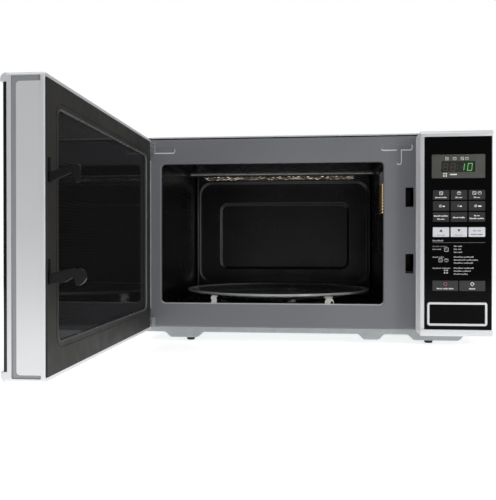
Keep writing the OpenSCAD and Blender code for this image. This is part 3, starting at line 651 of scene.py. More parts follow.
def base_plate():
    """Bottom sheet: dishes pressed down for the feet, a front flange and cooling slots."""
    low, high = mm_box("base_plate")
    underside, sheet = 12.0, 1.0
    left, dish_length = cover_low.x, 40

    def dish(x, y, spans, y0):
        across = max(smooth((x - left - a) / DISH_SLOPE) * smooth((left + b - x) / DISH_SLOPE)
                     for a, b in spans)
        along = smooth((y0 + dish_length - y) / 5) * (1 if y0 < 0 else smooth((y - y0) / 5))
        return across * along

    def level(x, y):
        return underside - DISH_DEPTH * max(dish(x, y, FRONT_DISHES, low.y),
                                            dish(x, y, REAR_DISHES, high.y - dish_length - 4))

    slots = [(x, x + 4, y, y + 22) for x in grid(113.8, 12, 8) for y in (-75, -45, -15)]
    slots += [(x, x + 5, 40, 62) for x in grid(left + 30, 14, 6)]
    xs = sorted(set(grid(low.x, 2.8, 156)[1:155] + [low.x, high.x] + [v for s in slots for v in s[:2]]))
    ys = sorted(set(grid(low.y + 1.6, 3.0, 99) + [high.y] + [v for s in slots for v in s[2:]]))
    bm = bmesh.new()
    rows = [[bm.verts.new((x, low.y, FLANGE_TOP)) for x in xs]]
    rows += [[bm.verts.new((x, low.y + dy, level(x, low.y) + dz)) for x in xs]
             for dy, dz in ((0, 1.6), (0.25, 0.7), (0.8, 0.2))]
    rows += [[bm.verts.new((x, y, level(x, y))) for x in xs] for y in ys]
    for a, b in zip(rows, rows[1:]):
        for i in range(len(xs) - 1):
            x, y = (xs[i] + xs[i + 1]) / 2, (a[0].co.y + b[0].co.y) / 2
            if not any(s[0] < x < s[1] and s[2] < y < s[3] for s in slots):
                bm.faces.new((a[i], a[i + 1], b[i + 1], b[i]))
    bmesh.ops.recalc_face_normals(bm, faces=bm.faces)
    if sum(f.normal.z * f.calc_area() for f in bm.faces) > 0:
        bmesh.ops.reverse_faces(bm, faces=bm.faces)
    bmesh.ops.solidify(bm, geom=bm.faces[:], thickness=sheet)
    for x in (low.x, high.x - SHEET):
        slab(bm, x, x + SHEET, low.y + 2, high.y, underside, FLANGE_TOP, 0.2, edge=0.2)
    piece("base_sheet", bm, "cabinet", ZINC, ["base_plate"])


def feet():
    """Four ribbed rubber feet, one at each foot mount."""
    bottom, middle = mm_box("feet")[0].z, 5
    profile = [(0, middle), (0, bottom + 0.5), (3.4, bottom + 0.5), (3.8, bottom), (4.6, bottom),
               (5, bottom + 0.4), (5.9, middle - 0.5), (5.8, middle), (2.4, middle), (2.4, middle + 2.6),
               (1.8, middle + 3), (0, middle + 3)]
    bm = bmesh.new()
    for mount in frame["record"]["mounts"]:
        if mount["name"].startswith("foot"):
            x, y = (v / MM for v in mount["pos_m"][:2])
            lathe(bm, profile, (x, y, 0), "z", 32)
    piece("feet_rubber", bm, "cabinet", RUBBER, ["feet"])


def front_plate():
    """Painted front frame: folded rim, lipped opening, pressed grooves and latch slots."""
    low, high = plate_low, plate_high
    fold, sheet = 3.0, 1.0
    rim = []
    for out, arc in ((0, range(5)), (sheet, range(4, -1, -1))):
        for i in arc:
            a, r = math.pi / 2 * i / 4, fold - out
            rim.append((out + r * (1 - math.cos(a)), -out - r * (1 - math.sin(a))))
    bm = fresh(loft, stepped((low.x, high.x, low.z, high.z), 6, low.y, rim))
    x0, x1, z0, z1 = OPENING
    lip = fresh(slab, x0 - 1, x1 + 1, low.y + 0.4, low.y + 5, z0 - 1, z1 + 1, 6, edge=0)
    bm = combine(bm, lip, "UNION")
    rounded = ((-1, 1.7), (0, 1.7), (0.12, 1.05), (0.5, 0.5), (1.1, 0.12), (1.8, 0), (6, 0))
    hole = fresh(loft, stepped(OPENING, 5, low.y, rounded))
    # opening edge faces, chosen by which way they face, take the light grey: painted highlight
    shade(hole, 1, lambda face: face.normal.z > 0.5)
    for z in (HOOK_NOSES[0] - 3.2, HOOK_NOSES[1] - 1.7):
        slab(hole, HOOK_X - 5, HOOK_X + 5.2, low.y - 1, low.y + 3, z, z + 24.8, 0.9, edge=0)
    prism(hole, circle(cover_low.x + 8, 94, 1.6, 16), low.y - 1, low.y + 3)
    bm = combine(bm, hole)
    level = cover_high.z - 21.3
    hollow = ((-1, 0.4), (0, 0.4), (0.12, 0), (0.68, -1.2), (0.8, -1.8))
    for box in ((cover_low.x + 5, cover_low.x + 41, level, level + 7.6),
                (x1 - 3.5, x1 + 36.5, level, level + 8.3), (x1 + 16, x1 + 23, z1 - 4, level + 3)):
        groove = fresh(loft, stepped(box, 3.4, low.y, hollow))
        # groove slopes, chosen by which way they face, take the light grey: painted highlight
        shade(groove, 1, lambda face: face.normal.z > 0.2 or face.normal.x < -0.3)
        bm = combine(bm, groove)
    piece("front_sheet", bm, "cabinet", [GREY, GREY_PAINTED_HIGHLIGHT], ["front_plate"], crease=50)


def pressed(box, r, base, depth):
    """Cutter for a step pressed outward in the back wall, with a soft S-shaped slope."""
    slope = ((-0.7, 1.8), (0, 1.8), (0.06, 0.9), (0.25, -0.3), (0.5, -1.2), (0.75, -2.1), (0.94, -3.3),
             (1, -4.2))
    profile = [(share * depth, grow) for share, grow in slope]
    return fresh(loft, stepped(box, r, base, profile, steps=10))


def perforate(bm, across, up, r, d0, d1, facing, steps=10):
    """Round pins through every crossing of two rows of places."""
    for a in across:
        for b in up:
            prism(bm, circle(a, b, r, steps), d0, d1, facing)


def cavity():
    """Enamelled oven box with its pressed back wall, grill ceiling and lamp grid."""
    low, high = cavity_low, cavity_high
    left, right, floor, top, back = CAVITY_LEFT, CAVITY_RIGHT, CAVITY_FLOOR, CAVITY_TOP, CAVITY_BACK
    heater_front = back - 62
    inner = fresh(slab, left, right, low.y - 1, back, floor, top, 5, edge=0, back_edge=5)
    for step in (((left + 6, right - 4, floor + 23.4, top - 7.7), 22, back, 1.5),
                 ((left + 42.5, right - 37.5, floor + 47.7, top - 44.7), 13, back + 1.5, 2)):
        inner = combine(inner, pressed(*step), "UNION")
    # lower ceiling over the back half, hung with a soft riser
    slope = (-1.6, 0), (-1, 0.15), (-0.4, 0.7), (0, 1.6), (0.2, 3.6), (0.6, 4.3), (1.3, 4.5)
    riser = [(heater_front + y, top - drop - 0.01) for y, drop in slope]
    riser.append((back + 3, riser[-1][1]))
    tray = [[(left - 1, y, z), (right + 1, y, z), (right + 1, y, top + 2), (left - 1, y, top + 2)]
            for y, z in riser]
    inner = combine(inner, fresh(loft, tray))
    bm = fresh(slab, left - SHEET, right + SHEET, low.y, high.y, floor - SHEET, top + SHEET, 5, edge=0,
               back_edge=4)
    bm = combine(bm, inner)
    holes = bmesh.new()
    rows, row_pitch, hole_pitch, hole_count = 5, 11, 7.8, 32
    for row in range(rows):
        start = left + 24 + hole_pitch / 2 * (row % 2)
        perforate(holes, grid(start, hole_pitch, hole_count), [heater_front + 8 + row_pitch * row], 2.6,
                  top - 6, high.z + 1, facing_z)
    lamp_pitch, lamp_count = 4.3, 14
    perforate(holes, grid(-64, lamp_pitch, lamp_count), grid(173, lamp_pitch, lamp_count), 1.4, right - 1,
              right + 2, facing_x, 8)
    perforate(holes, grid(30, 8, 8), grid(180, 8, 5), 2, left - 2, left + 1, facing_x)
    table = middle_of("glass_turntable")
    prism(holes, circle(table.x, table.y, 6), floor - 2, floor + 1, facing_z)
    slab(holes, 16, 94, right - 1, right + 2, 120, 160, 3, edge=0, facing=facing_x)
    bm = combine(bm, holes)
    looks = [BLACK_ENAMEL, GRILL_EDGE, LAMP_EDGE, LAMP_DIM, ROLLED, ENAMEL_PAINTED_HIGHLIGHT]
    for face in bm.faces:
        c, n, look = face.calc_center_median(), face.normal, BLACK_ENAMEL
        small = face.calc_area() <= 9
        if top - 1.7 < c.z < top and heater_front - 1.1 < c.y < heater_front and n.y < -0.2:
            look = ROLLED
        # step slopes facing down or right get the lighter enamel: painted highlight
        if c.y > back and n.y > -0.97 and (n.z < -0.25 or n.x > 0.25):
            look = ENAMEL_PAINTED_HIGHLIGHT
        # hole walls over the grill and in the lamp grid glow as painted light
        if small and c.z > top - 5 and abs(n.z) < 0.3 and heater_front + 4 < c.y < heater_front + 56:
            look = GRILL_EDGE
        if small and c.x > right + 0.02 and abs(n.x) < 0.3 and abs(c.y + 36) < 34:
            look = ROLLED if c.z > 214 else LAMP_EDGE if c.y < -44 else LAMP_DIM
        face.material_index = looks.index(look)
    slab(bm, 12, 98, right + SHEET, cavity_high.x, 116, 214, 2, edge=0.5, facing=facing_x)
    piece("oven_cavity", bm, "cabinet", looks, ["cavity"])


def waveguide_cover():
    low, high = mm_box("waveguide_cover")
    bm = fresh(slab, low.y, high.y, low.x, high.x, low.z, high.z, 4, edge=0.15, facing=facing_x)
    piece("waveguide_sheet", bm, "cabinet", MICA, ["waveguide_cover"])


def hinges():
    """Stamped hinge arms with their pins, flanges and rivets."""
    for node, dark in (("upper_hinge", False), ("lower_hinge", True)):
        low, high = mm_box(node)
        arm_low = low.z if dark else high.z - 2
        outline = [(HINGE_X + 2.7 * math.cos(a), HINGE_Y + 2.7 * math.sin(a))
                   for a in (math.pi + math.pi * i / 12 for i in range(13))]
        outline += [(HINGE_X + 2.7, FRONT), (HINGE_X - 2.7, FRONT)]
        bm = soften(fresh(prism, outline, arm_low, arm_low + 2, facing_z), 0.35)
        pin0, pin1 = (arm_low + 1, high.z - 1) if dark else (high.z - 12, arm_low + 1)
        lathe(bm, [(0, pin0), (1.7, pin0), (1.95, pin0 + 0.3), (1.95, pin1), (0, pin1)],
              (HINGE_X, HINGE_Y, 0), "z", 24)
        slab(bm, low.x, high.x, FRONT - 1.2, FRONT, low.z, high.z, 1.5, edge=0.35, back_edge=0)
        for z in (low.z + 4.5, high.z - 4.5):
            lathe(bm, [(0, -0.1), (1.9, -0.1), (1.9, -0.3), (1.2, -0.45), (0, -0.5)],
                  (high.x - 4, FRONT - 1.1, z), "y", 20)
        piece(node + "_arm", bm, "cabinet", ZINC if dark else STEEL, [node])


def cord_inlet():
    """Ribbed rubber bush in the rear panel."""
    low, high = mm_box("cord_inlet")
    back = mm_box("rear_panel")[1].y
    profile = [(3.6, low.y), (9.3, low.y), (9.5, low.y + 0.3), (9.5, low.y + 2.8), (7.9, low.y + 3.2),
               (7.9, back), (10.7, back), (11, back + 0.5), (11, back + 2.4), (10.4, back + 3),
               (8.4, back + 3), (7.6, high.y - 0.4), (7.0, high.y), (4.0, high.y), (3.6, high.y - 0.4)]
    bm = fresh(lathe, profile, ((low.x + high.x) / 2, 0, (low.z + high.z) / 2), "y", 40)
    piece("inlet_bush", bm, "cabinet", RUBBER, ["cord_inlet"])


# ---------------- mouldings with caps

INSERT_BOTTOM, INSERT_TOP = insert_low.z, insert_high.z
CAP_FRONT, PANEL_FRONT = fascia_low.y, insert_low.y


def cap_profiles(bottom, top):
    """(y, z) outlines of the bottom and top caps, rounded towards their outer edges."""
    outlines = []
    for inner, outward, outer, run in ((INSERT_BOTTOM, -1, bottom, 3), (INSERT_TOP, 1, top, 5.2)):
        start = inner + 1.8 * outward
        rise = outer - start
        outline = [(PANEL_FRONT + 3, inner), (CAP_FRONT + 0.3, inner), (CAP_FRONT, inner + 0.3 * outward),
                   (CAP_FRONT, start)]
        outline += [(CAP_FRONT + run * (1 - math.cos(a)), start + rise * math.sin(a))
                    for a in (math.pi / 2 * i / 7 for i in range(1, 8))]
        outlines.append(outline)
    return outlines


def capped_body(x0, x1, back, bottom, top):
    """Hollow-ready block whose top and bottom caps stand proud of the glass."""
    bm = fresh(slab, x0, x1, PANEL_FRONT, back, bottom, top, 2.6, edge=1.2, back_edge=0.5)
    for outline in cap_profiles(bottom, top):
        cap = fresh(prism, outline, x0, x1, facing_x)
        soften(cap, 0.9, angle=60, where=lambda e: abs(e.verts[0].co.x - e.verts[1].co.x) < 0.01)
        bm = combine(bm, cap, "UNION")
    return bm


def control_fascia():
    """Silver moulding of the control side, hollow behind, with a seat for the glossy panel."""
    low, high = fascia_low, fascia_high
    bm = capped_body(low.x, high.x, high.y, low.z, high.z)
    bm = cut(bm, low.x + 2, high.x - 2, insert_high.y + 2, high.y + 1, low.z + 2, high.z - 2, 1)
    bm = cut(bm, insert_low.x, insert_high.x, PANEL_FRONT - 2, insert_high.y, INSERT_BOTTOM, INSERT_TOP, 1)
    behind = bmesh.new()
    through = insert_high.y - 1, insert_high.y + 3
    for node, margin in (("display_window", -4), ("release_button", 0.4)):
        a, b = mm_box(node)
        slab(behind, a.x - margin, b.x + margin, *through, a.z - margin, b.z + margin, 3, edge=0)
    (first_low, first_high), (last_low, last_high) = mm_box("microwave_key"), mm_box("start_key")
    slab(behind, first_low.x - 3, last_high.x + 3, *through, last_low.z - 5, first_high.z + 4, 2, edge=0)
    bm = combine(bm, behind)
    side = fresh(slab, PANEL_FRONT + 6.5, high.y - 4.5, low.x - 1, low.x + 0.8, low.z + 6, high.z - 7, 4,
                 edge=0, back_edge=0.3, facing=facing_x)
    slab(side, PANEL_FRONT + 3.2, PANEL_FRONT + 4.6, low.x - 1, low.x + 0.6, low.z + 3, high.z - 3, 0.4,
         edge=0, facing=facing_x)
    bm = combine(bm, side)
    # faces of the left side get the near-white silver: painted light
    shade(bm, 1, lambda face: face.normal.x < -0.6)
    piece("fascia", bm, "cabinet", [SILVER, SILVER_PAINTED_LIGHT], ["control_fascia"])


# ---------------- control panel

DARK_KEYS = ("microwave_key", "grill_key", "combination_key", "ten_minute_key", "one_minute_key",
             "ten_second_key", "defrost_key", "weight_key", "menu_key")
LIGHT_KEYS = ("increase_key", "decrease_key", "clock_key")
WIDE_KEYS = ("stop_key", "start_key")
KEY_GAP = 0.25


def panel_insert():
    """Glossy black panel with holes for the keys, the display and the release button."""
    low, high = insert_low, insert_high
    holes = bmesh.new()
    eased = (-1, KEY_GAP + 0.2), (0, KEY_GAP + 0.2), (0.2, KEY_GAP), (3, KEY_GAP)
    for node in DARK_KEYS + LIGHT_KEYS + WIDE_KEYS:
        a, b = mm_box(node)
        loft(holes, [[(p, low.y + depth, q)
                      for p, q in round_rect(a.x - grow, b.x + grow, a.z - grow, b.z + grow, 1.1, 4)]
                     for depth, grow in eased])
    for node, grow, r in (("display_window", 0.1, 1), ("release_button", 0.4, 3)):
        a, b = mm_box(node)
        slab(holes, a.x - grow, b.x + grow, low.y - 1, high.y + 1, a.z - grow, b.z + grow, r, edge=0)
    bm = combine(block(low, high, 1, edge=0.25), holes)
    piece("panel_face", bm, "cabinet", GLOSS_BLACK, ["panel_insert"])


def keys():
    """Key caps on round stems, each on its own body."""
    for names, material, slot in ((DARK_KEYS, KEY_GREY, "key_grey"), (LIGHT_KEYS, KEY_LIGHT, "key_light"),
                                  (WIDE_KEYS, KEY_WIDE, "key_grey")):
        for node in names:
            low, high = mm_box(node)
            bm = fresh(slab, low.x, high.x, low.y, low.y + 2.2, low.z, high.z, 0.9, edge=0.35, back_edge=0.1)
            lathe(bm, [(0, low.y + 2), (2, low.y + 2), (2, high.y - 0.3), (1.7, high.y), (0, high.y)],
                  ((low.x + high.x) / 2, 0, high.z - 6), "y", 20)
            piece(node + "_cap", bm, node, material, [node])


def display():
    """Clear lens over a printed mask, with the lit module behind it."""
    low, high = mm_box("display_window")
    lens = fresh(slab, low.x, high.x, low.y, low.y + 0.6, low.z, high.z, 0.9, edge=0.15)
    piece("display_lens", lens, "cabinet", LENS, ["display_window"])
    x0, x1, z0, z1 = LED_WINDOW
    mask = fresh(slab, low.x, high.x, low.y + 0.65, high.y, low.z, high.z, 0.9, edge=0.05)
    mask = cut(mask, x0, x1, low.y, high.y + 1, z0, z1, 0.5)
    piece("display_mask", mask, "cabinet", LENS_MASK)
    softened("display_module", LED_BLACK, 0.2)


LED_WINDOW = (157.6, 197.5, 214.5, 227.6)
SEGMENTS = {"a": ((0, 1), (1, 1)), "b": ((1, 1), (1, 0.5)), "c": ((1, 0.5), (1, 0)), "d": ((0, 0), (1, 0)),
            "e": ((0, 0.5), (0, 0)), "f": ((0, 1), (0, 0.5)), "g": ((0, 0.5), (1, 0.5))}
SLANT = 0.14


def stroke(bm, points, width, face, proud=0.06):
    """Flat line through points on an upright face."""
    for (x0, z0), (x1, z1) in zip(points, points[1:]):
        along = Vector((x1 - x0, z1 - z0))
        along.normalize()
        side = Vector((-along.y, along.x)) * width / 2
        tip = along * width / 2
        corners = [(x0 - tip.x + side.x, z0 - tip.y + side.y), (x0 - tip.x - side.x, z0 - tip.y - side.y),
                   (x1 + tip.x - side.x, z1 + tip.y - side.y), (x1 + tip.x + side.x, z1 + tip.y + side.y)]
        prism(bm, corners, face - proud, face + 0.03)


def digit(bm, x, z, width, height, shown, face, line=0.9):
    for name in shown:
        ends = []
        for u, v in SEGMENTS[name]:
            gap_u = 0.12 * (0.5 - u) if name in "adg" else 0
            gap_v = 0.08 * (1 if v < 0.5 or (v == 0.5 and name in "bf") else -1) if name in "bcef" else 0
            ends.append((x + (u + gap_u) * width + (v + gap_v) * height * SLANT, z + (v + gap_v) * height))
        stroke(bm, ends, line, face, 0.02)


def display_digits():
    face = mm_box("display_module")[0].y
    off, on = bmesh.new(), bmesh.new()
    z, width, height = 216.4, 5.0, 8.4
    for bm, x, shown in ((off, 159.6, "abcdefg"), (off, 168.6, "abcdefg"), (off, 180.6, "g"),
                         (off, 188.4, "g"), (on, 179.2, "bc"), (on, 188.4, "abcdef")):
        digit(bm, x, z, width, height, shown, face)
    for dz in (2.4, 5.8):
        stroke(off, [(176.6 + dz * SLANT, z + dz), (176.9 + dz * SLANT, z + dz)], 0.9, face, 0.02)
    piece("display_ghost_segments", off, "cabinet", LED_OFF)
    piece("display_lit_segments", on, "cabinet", LED_ON)


def bar(bm, x0, x1, z, height, face):
    slab(bm, x0, x1, face - 0.06, face + 0.03, z, z + height, height * 0.3, edge=0)


def words(bm, x0, x1, z, height, face, count=2):
    """Row of small blocks that stands in for a line of lettering."""
    gap = height * 0.55
    each = (x1 - x0 - gap * (count - 1)) / count
    letters = max(1, round(each / (height * 0.74)))
    step = each / letters
    for i in range(count):
        for k in range(letters):
            tall = height if (3 * k + i) % 5 in (0, 3) else height * 0.72
            x = x0 + i * (each + gap) + k * step
            prism(bm, [(x, z), (x + step * 0.66, z), (x + step * 0.66, z + tall), (x, z + tall)],
                  face - 0.05, face + 0.03)


def wave_icon(bm, x, z, size, face):
    """Square with a wavy ray across it."""
    half = size / 2
    square = [(x + u * half, z + v * half) for u, v in ((-1, -1), (1, -1), (1, 1), (-1, 1), (-1, -1))]
    stroke(bm, square, size * 0.16, face)
    ray = [(x + size * (-0.3 + 0.6 * t / 8), z + size * (0.28 - 0.56 * t / 8 + 0.1 * math.sin(t * 1.6)))
           for t in range(9)]
    stroke(bm, ray, size * 0.16, face)


def grill_icon(bm, x, z, size, face):
    """Rounded oven outline with a heater bar under its top."""
    half = size / 2
    outline = round_rect(x - half * 1.15, x + half * 1.15, z - half * 0.9, z + half * 0.9, half * 0.4, 3)
    stroke(bm, outline + outline[:1], size * 0.16, face)
    stroke(bm, [(x - half * 0.6, z + half * 0.4), (x + half * 0.6, z + half * 0.4)], size * 0.16, face)


def pair_icon(bm, x, z, size, face):
    wave_icon(bm, x - size * 0.85, z, size, face)
    grill_icon(bm, x + size * 0.85, z, size * 0.95, face)


def squares_icon(bm, x, z, size, face):
    for dx in (-0.5, 0.12):
        for dz in (-0.5, 0.12):
            bar(bm, x + dx * size, x + (dx + 0.38) * size, z + dz * size, 0.38 * size, face)


def key_prints():
    """Symbols and rows of lettering on the keys; each rides on its own key."""
    def symbol(icon, width):
        def draw(bm, x, z, face):
            icon(bm, x, z + 2.1, 3.6, face)
            words(bm, x - width / 2, x + width / 2, z - 3.9, 1.5, face)
        return draw

    def amount(text, width):
        def draw(bm, x, z, face):
            start = x - (len(text) * 2.1 + width) / 2
            for i, shown in enumerate(text):
                digit(bm, start + i * 2.2, z - 1.3, 1.2, 2.5, {"1": "bc", "0": "abcdef"}[shown], face, 0.42)
            bar(bm, start + len(text) * 2.2 + 0.9, start + len(text) * 2.2 + 0.9 + width, z - 1.2, 1.5, face)
        return draw

    def lines(*rows):
        def draw(bm, x, z, face):
            for width, rise, height, *count in rows:
                words(bm, x - width / 2, x + width / 2, z + rise, height, face, *count)
        return draw

    def arrow(up):
        def draw(bm, x, z, face):
            foot = z + 1.9 - 1.5 * up
            prism(bm, [(x - 2, foot), (x + 2, foot), (x, z + 1.9 + 1.8 * up)], face - 0.06, face + 0.03)
        return draw

    def closed(r, sides):
        def draw(bm, x, z, face):
            outline = circle(x, z + 2.2, r, sides)
            stroke(bm, outline + outline[:1], 0.7, face)
        return draw

    def on_key(node, draw, material=PRINT_WHITE, suffix="_print"):
        low, high = mm_box(node)
        bm = fresh(draw, (low.x + high.x) / 2, (low.z + high.z) / 2, low.y)
        piece(node + suffix, bm, node, material)

    on_key("microwave_key", symbol(wave_icon, 13.5))
    on_key("grill_key", symbol(grill_icon, 8))
    on_key("combination_key", symbol(pair_icon, 7.5))
    on_key("ten_minute_key", amount("10", 2.6))
    on_key("one_minute_key", amount("1", 2.6))
    on_key("ten_second_key", amount("10", 4))
    on_key("defrost_key", lines((17, 0.6, 1.5), (8.5, -3.2, 1.5)))
    on_key("weight_key", lines((14, -1.4, 1.5)))
    on_key("menu_key", lines((6.5, 0.8, 1.5), (17, -2.6, 1.5)))
    for node, up in (("increase_key", 1), ("decrease_key", -1)):
        on_key(node, arrow(up), PRINT_DARK)
        on_key(node, lines((9.2, -4.3, 1.2)), PRINT_GREY, "_caption")
    on_key("clock_key", lines((9, 0.9, 1.2), (14, -3.5, 1.3)), PRINT_DARK)
    on_key("stop_key", closed(2.0, 8), PRINT_PINK, "_symbol")
    on_key("stop_key", lines((20, -4.1, 1.5, 3)))
    on_key("start_key", closed(2.3, 4), suffix="_symbol")
    on_key("start_key", lines((7.2, -4.1, 1.6, 1)))


def panel_prints():
    """Symbols over the display and the printed guide under the light keys."""
    face = mm_box("display_window")[0].y + 0.62
    x0, z0, z1 = LED_WINDOW[0], LED_WINDOW[2], LED_WINDOW[3]
    bm = bmesh.new()
    for icon, x in ((wave_icon, 6.6), (grill_icon, 15.6), (pair_icon, 27.5)):
        icon(bm, x0 + x, z1 + 3.1, 3.2, face)
    squares_icon(bm, x0 + 4.4, z0 - 3.3, 4.6, face)
    bar(bm, x0 + 10.2, x0 + 18.4, z0 - 3.7, 1.5, face)
    piece("display_symbols", bm, "cabinet", PRINT_WHITE)

    left, right = mm_box("microwave_key")[0].x, mm_box("combination_key")[1].x
    face = insert_low.y
    bm, thin = bmesh.new(), bmesh.new()
    words(bm, left, left + 12.6, 130.9, 1.5, face, 1)
    stroke(thin, [(left, 129.3), (right, 129.3)], 0.3, face)
    for z, icon, x, rise, size, widths, rows in (
            (125.6, wave_icon, 16.2, -0.5, 4.4, (17, 10), (9.6, 8.6, 10)),
            (112.6, pair_icon, 12.6, -0.4, 4.0, (13.5,), (23.5, 28.5, 22.5)),
            (99.2, squares_icon, 15.6, -0.7, 4.8, (21,), (23.5, 20, 16.5))):
        for i, width in enumerate(widths):
            words(bm if i or len(widths) == 1 else thin, left, left + width, z - 1.5 - i * 3.5, 1.3, face)
        icon(bm, left + x, z - 4.3 + rise, size, face)
        for i, width in enumerate(rows):
            words(bm, left + 25, left + 25 + width, z - 1.4 - i * 3.6, 1.5, face)
    piece("guide_print", bm, "cabinet", PRINT_SOFT)
    piece("guide_print_fine", thin, "cabinet", PRINT_GREY)


def release_button():
    """Black push plate with a silver trim ring, and the wedge rod behind it."""
    low, high = mm_box("release_button")
    y = low.y
    bm = fresh(slab, low.x + 2.4, high.x - 2.4, y + 0.75, y + 6.5, low.z + 2.4, high.z - 2.4, 1.6)
    rod = fresh(prism, [(y + 6, 44), (high.y, 44), (high.y - 12, 56), (y + 6, 56)], low.x + 4, low.x + 10,
                facing_x)
    bm = combine(bm, soften(rod, 0.3), "UNION")
    piece("button_plate", bm, "release_button", BUTTON, ["release_button"])
    trim = bmesh.new()
    section = ((3.5, -0.05), (0.5, -0.05), (0.15, -0.25), (0, -0.7), (0, -2.2), (0.2, -2.65), (0.6, -2.85),
               (3.5, -2.85))
    loops = [[trim.verts.new(point) for point in ring]
             for ring in stepped((low.x, high.x, low.z, high.z), 3.1, y, section)]
    for a, b in zip(loops, loops[1:] + loops[:1]):
        bridge(trim, a, b)
    piece("button_trim", trim, "release_button", SILVER_LIGHT)


# ---------------- door, built shut

DOOR_BACK = bezel_high.y
glass_high = shut_box("door_glass")[1]
choke_low, choke_high = shut_box("choke_cover")
film_low, film_high = shut_box("inner_window")
screen_low, screen_high = shut_box("door_screen")
hook_low, hook_high = shut_box("latch_hooks")
HOOK_X = (hook_low.x + hook_high.x) / 2
HOOK_NOSES = (93.5, 176.3)


def door_bezel():
    """Silver door moulding: seat for the glass, open back and a channel in the free edge."""
    low, high = bezel_low, bezel_high
    bm = capped_body(low.x, high.x, DOOR_BACK, low.z, high.z)
    bm = cut(bm, low.x + 2, high.x - 1.8, glass_high.y + 2.2, DOOR_BACK + 1, low.z + 3.2, high.z - 3.2, 0.8)
    bm = cut(bm, low.x - 1, high.x + 1, PANEL_FRONT - 2, glass_high.y, INSERT_BOTTOM, INSERT_TOP, 0.1)
    view = fresh(slab, screen_low.x + 2, screen_high.x - 2, glass_high.y - 1, glass_high.y + 3,
                 screen_low.z + 4, screen_high.z - 4, 8, edge=0)
    for z in (low.z + 3.2, high.z - 3.2 - 24):
        slab(view, low.x - 1, low.x + 2.1, FRONT - 11, DOOR_BACK + 1, z, z + 24, 0.1, edge=0)
    bm = combine(bm, view)
    # channel round three sides of a raised panel in the free edge, its floor and walls in darker silver as
    # painted shade
    channel = fresh(slab, FRONT - 30.8, FRONT - 6.3, high.x - 1.4, high.x + 1, low.z + 2.6, high.z - 2.6, 1,
                    edge=0, facing=facing_x, material=1)
    channel = cut(channel, FRONT - 27, FRONT - 1, high.x - 3, high.x - 0.3, low.z + 5.5, high.z - 7, 3,
                  back_edge=0.4, facing=facing_x)
    piece("bezel", combine(bm, channel), "door", [SILVER_DOOR, SILVER_PAINTED_SHADE],
          ["door_bezel"], shut=True)


def door_sheet(name, node, r, edge, material):
    """Plain sheet of the door, as large as its node."""
    low, high = shut_box(node)
    bm = block(low, high, r, edge=edge)
    piece(name, bm, "door", material, [node], shut=True)


def door_glass():
    door_sheet("glass_panel", "door_glass", 0.8, 0.35, DOOR_GLASS)


def choke_cover():
    """Dark inner face with a lipped window recess and the slots for the hooks."""
    low, high = choke_low, choke_high
    back = high.y
    bm = fresh(slab, low.x, high.x, low.y, back, low.z, high.z, 2, edge=0, back_edge=0.5)
    window = film_low.x, film_high.x, film_low.z, film_high.z
    lip = ((1, 1.4), (0, 1.4), (-0.15, 0.7), (-0.5, 0.2), (-1.1, 0), (-4, 0))
    # the window lip gets the lighter glossy grey: its gloss is real, its lighter colour a painted highlight
    hole = fresh(loft, stepped(window, 7, back, lip, steps=8), material=1)
    for z in (HOOK_NOSES[1] + 0.3, HOOK_NOSES[0] + 1):
        slab(hole, HOOK_X - 3, HOOK_X + 3, low.y - 1, back + 1, z, z + 20.4, 0.6, edge=0)
    bm = combine(bm, hole)
    # shallow moulded groove round the window
    x0, x1, z0, z1 = film_low.x - 5, film_high.x + 5, film_low.z - 5, film_high.z + 5
    groove = fresh(slab, x0 - 0.9, x1 + 0.9, back - 0.35, back + 1, z0 - 0.9, z1 + 0.9, 11.9, edge=0)
    bm = combine(bm, cut(groove, x0, x1, back - 2, back + 2, z0, z1, 11))
    piece("choke_face", bm, "door", [DARK, LIP_PAINTED_HIGHLIGHT], ["choke_cover"], shut=True)


def inner_window():
    door_sheet("window_film_sheet", "inner_window", 6.5, 0.15, WINDOW)


SCREEN_PITCH = 2.8


def door_screen():
    """Perforated sheet, each cell a square of steel round one hole."""
    low, high = screen_low, screen_high
    columns, rows = (int(length / SCREEN_PITCH) for length in (high.x - low.x, high.z - low.z))
    dx, dz = (high.x - low.x) / columns, (high.z - low.z) / rows
    bm = bmesh.new()
    corners = {}

    def corner(i, j, depth):
        if (i, j, depth) not in corners:
            corners[i, j, depth] = bm.verts.new((low.x + i * dx, depth, low.z + j * dz))
        return corners[i, j, depth]

    for i in range(columns):
        for j in range(rows):
            outline = circle(low.x + (i + 0.5) * dx, low.z + (j + 0.5) * dz, SCREEN_PITCH * 0.34, 8)
            outline = outline[5:] + outline[:5]
            loops = []
            for depth in (low.y, high.y):
                loop = [bm.verts.new((x, depth, z)) for x, z in outline]
                c = [corner(i + u, j + v, depth) for u, v in ((0, 0), (1, 0), (1, 1), (0, 1))]
                for k in range(4):
                    a, b, after = loop[2 * k], loop[2 * k + 1], loop[(2 * k + 2) % 8]
                    bm.faces.new((c[k], c[(k + 1) % 4], b, a))
                    bm.faces.new((c[(k + 1) % 4], after, b))
                loops.append(loop)
            bridge(bm, *loops)
    piece("window_screen", bm, "door", SCREEN, ["door_screen"], shut=True)


def filleted(points, r, steps=4):
    """Closed outline with its corners rounded by about r."""
    rounded = []
    count = len(points)
    for i, corner in enumerate(points):
        corner = Vector(corner)
        before = Vector(points[i - 1]) - corner
        after = Vector(points[(i + 1) % count]) - corner
        reach = min(r, before.length * 0.45, after.length * 0.45)
        a, b = corner + before.normalized() * reach, corner + after.normalized() * reach
        for k in range(steps + 1):
            t = k / steps
            rounded.append(tuple(a * (1 - t) ** 2 + corner * 2 * t * (1 - t) + b * t ** 2))
    return rounded


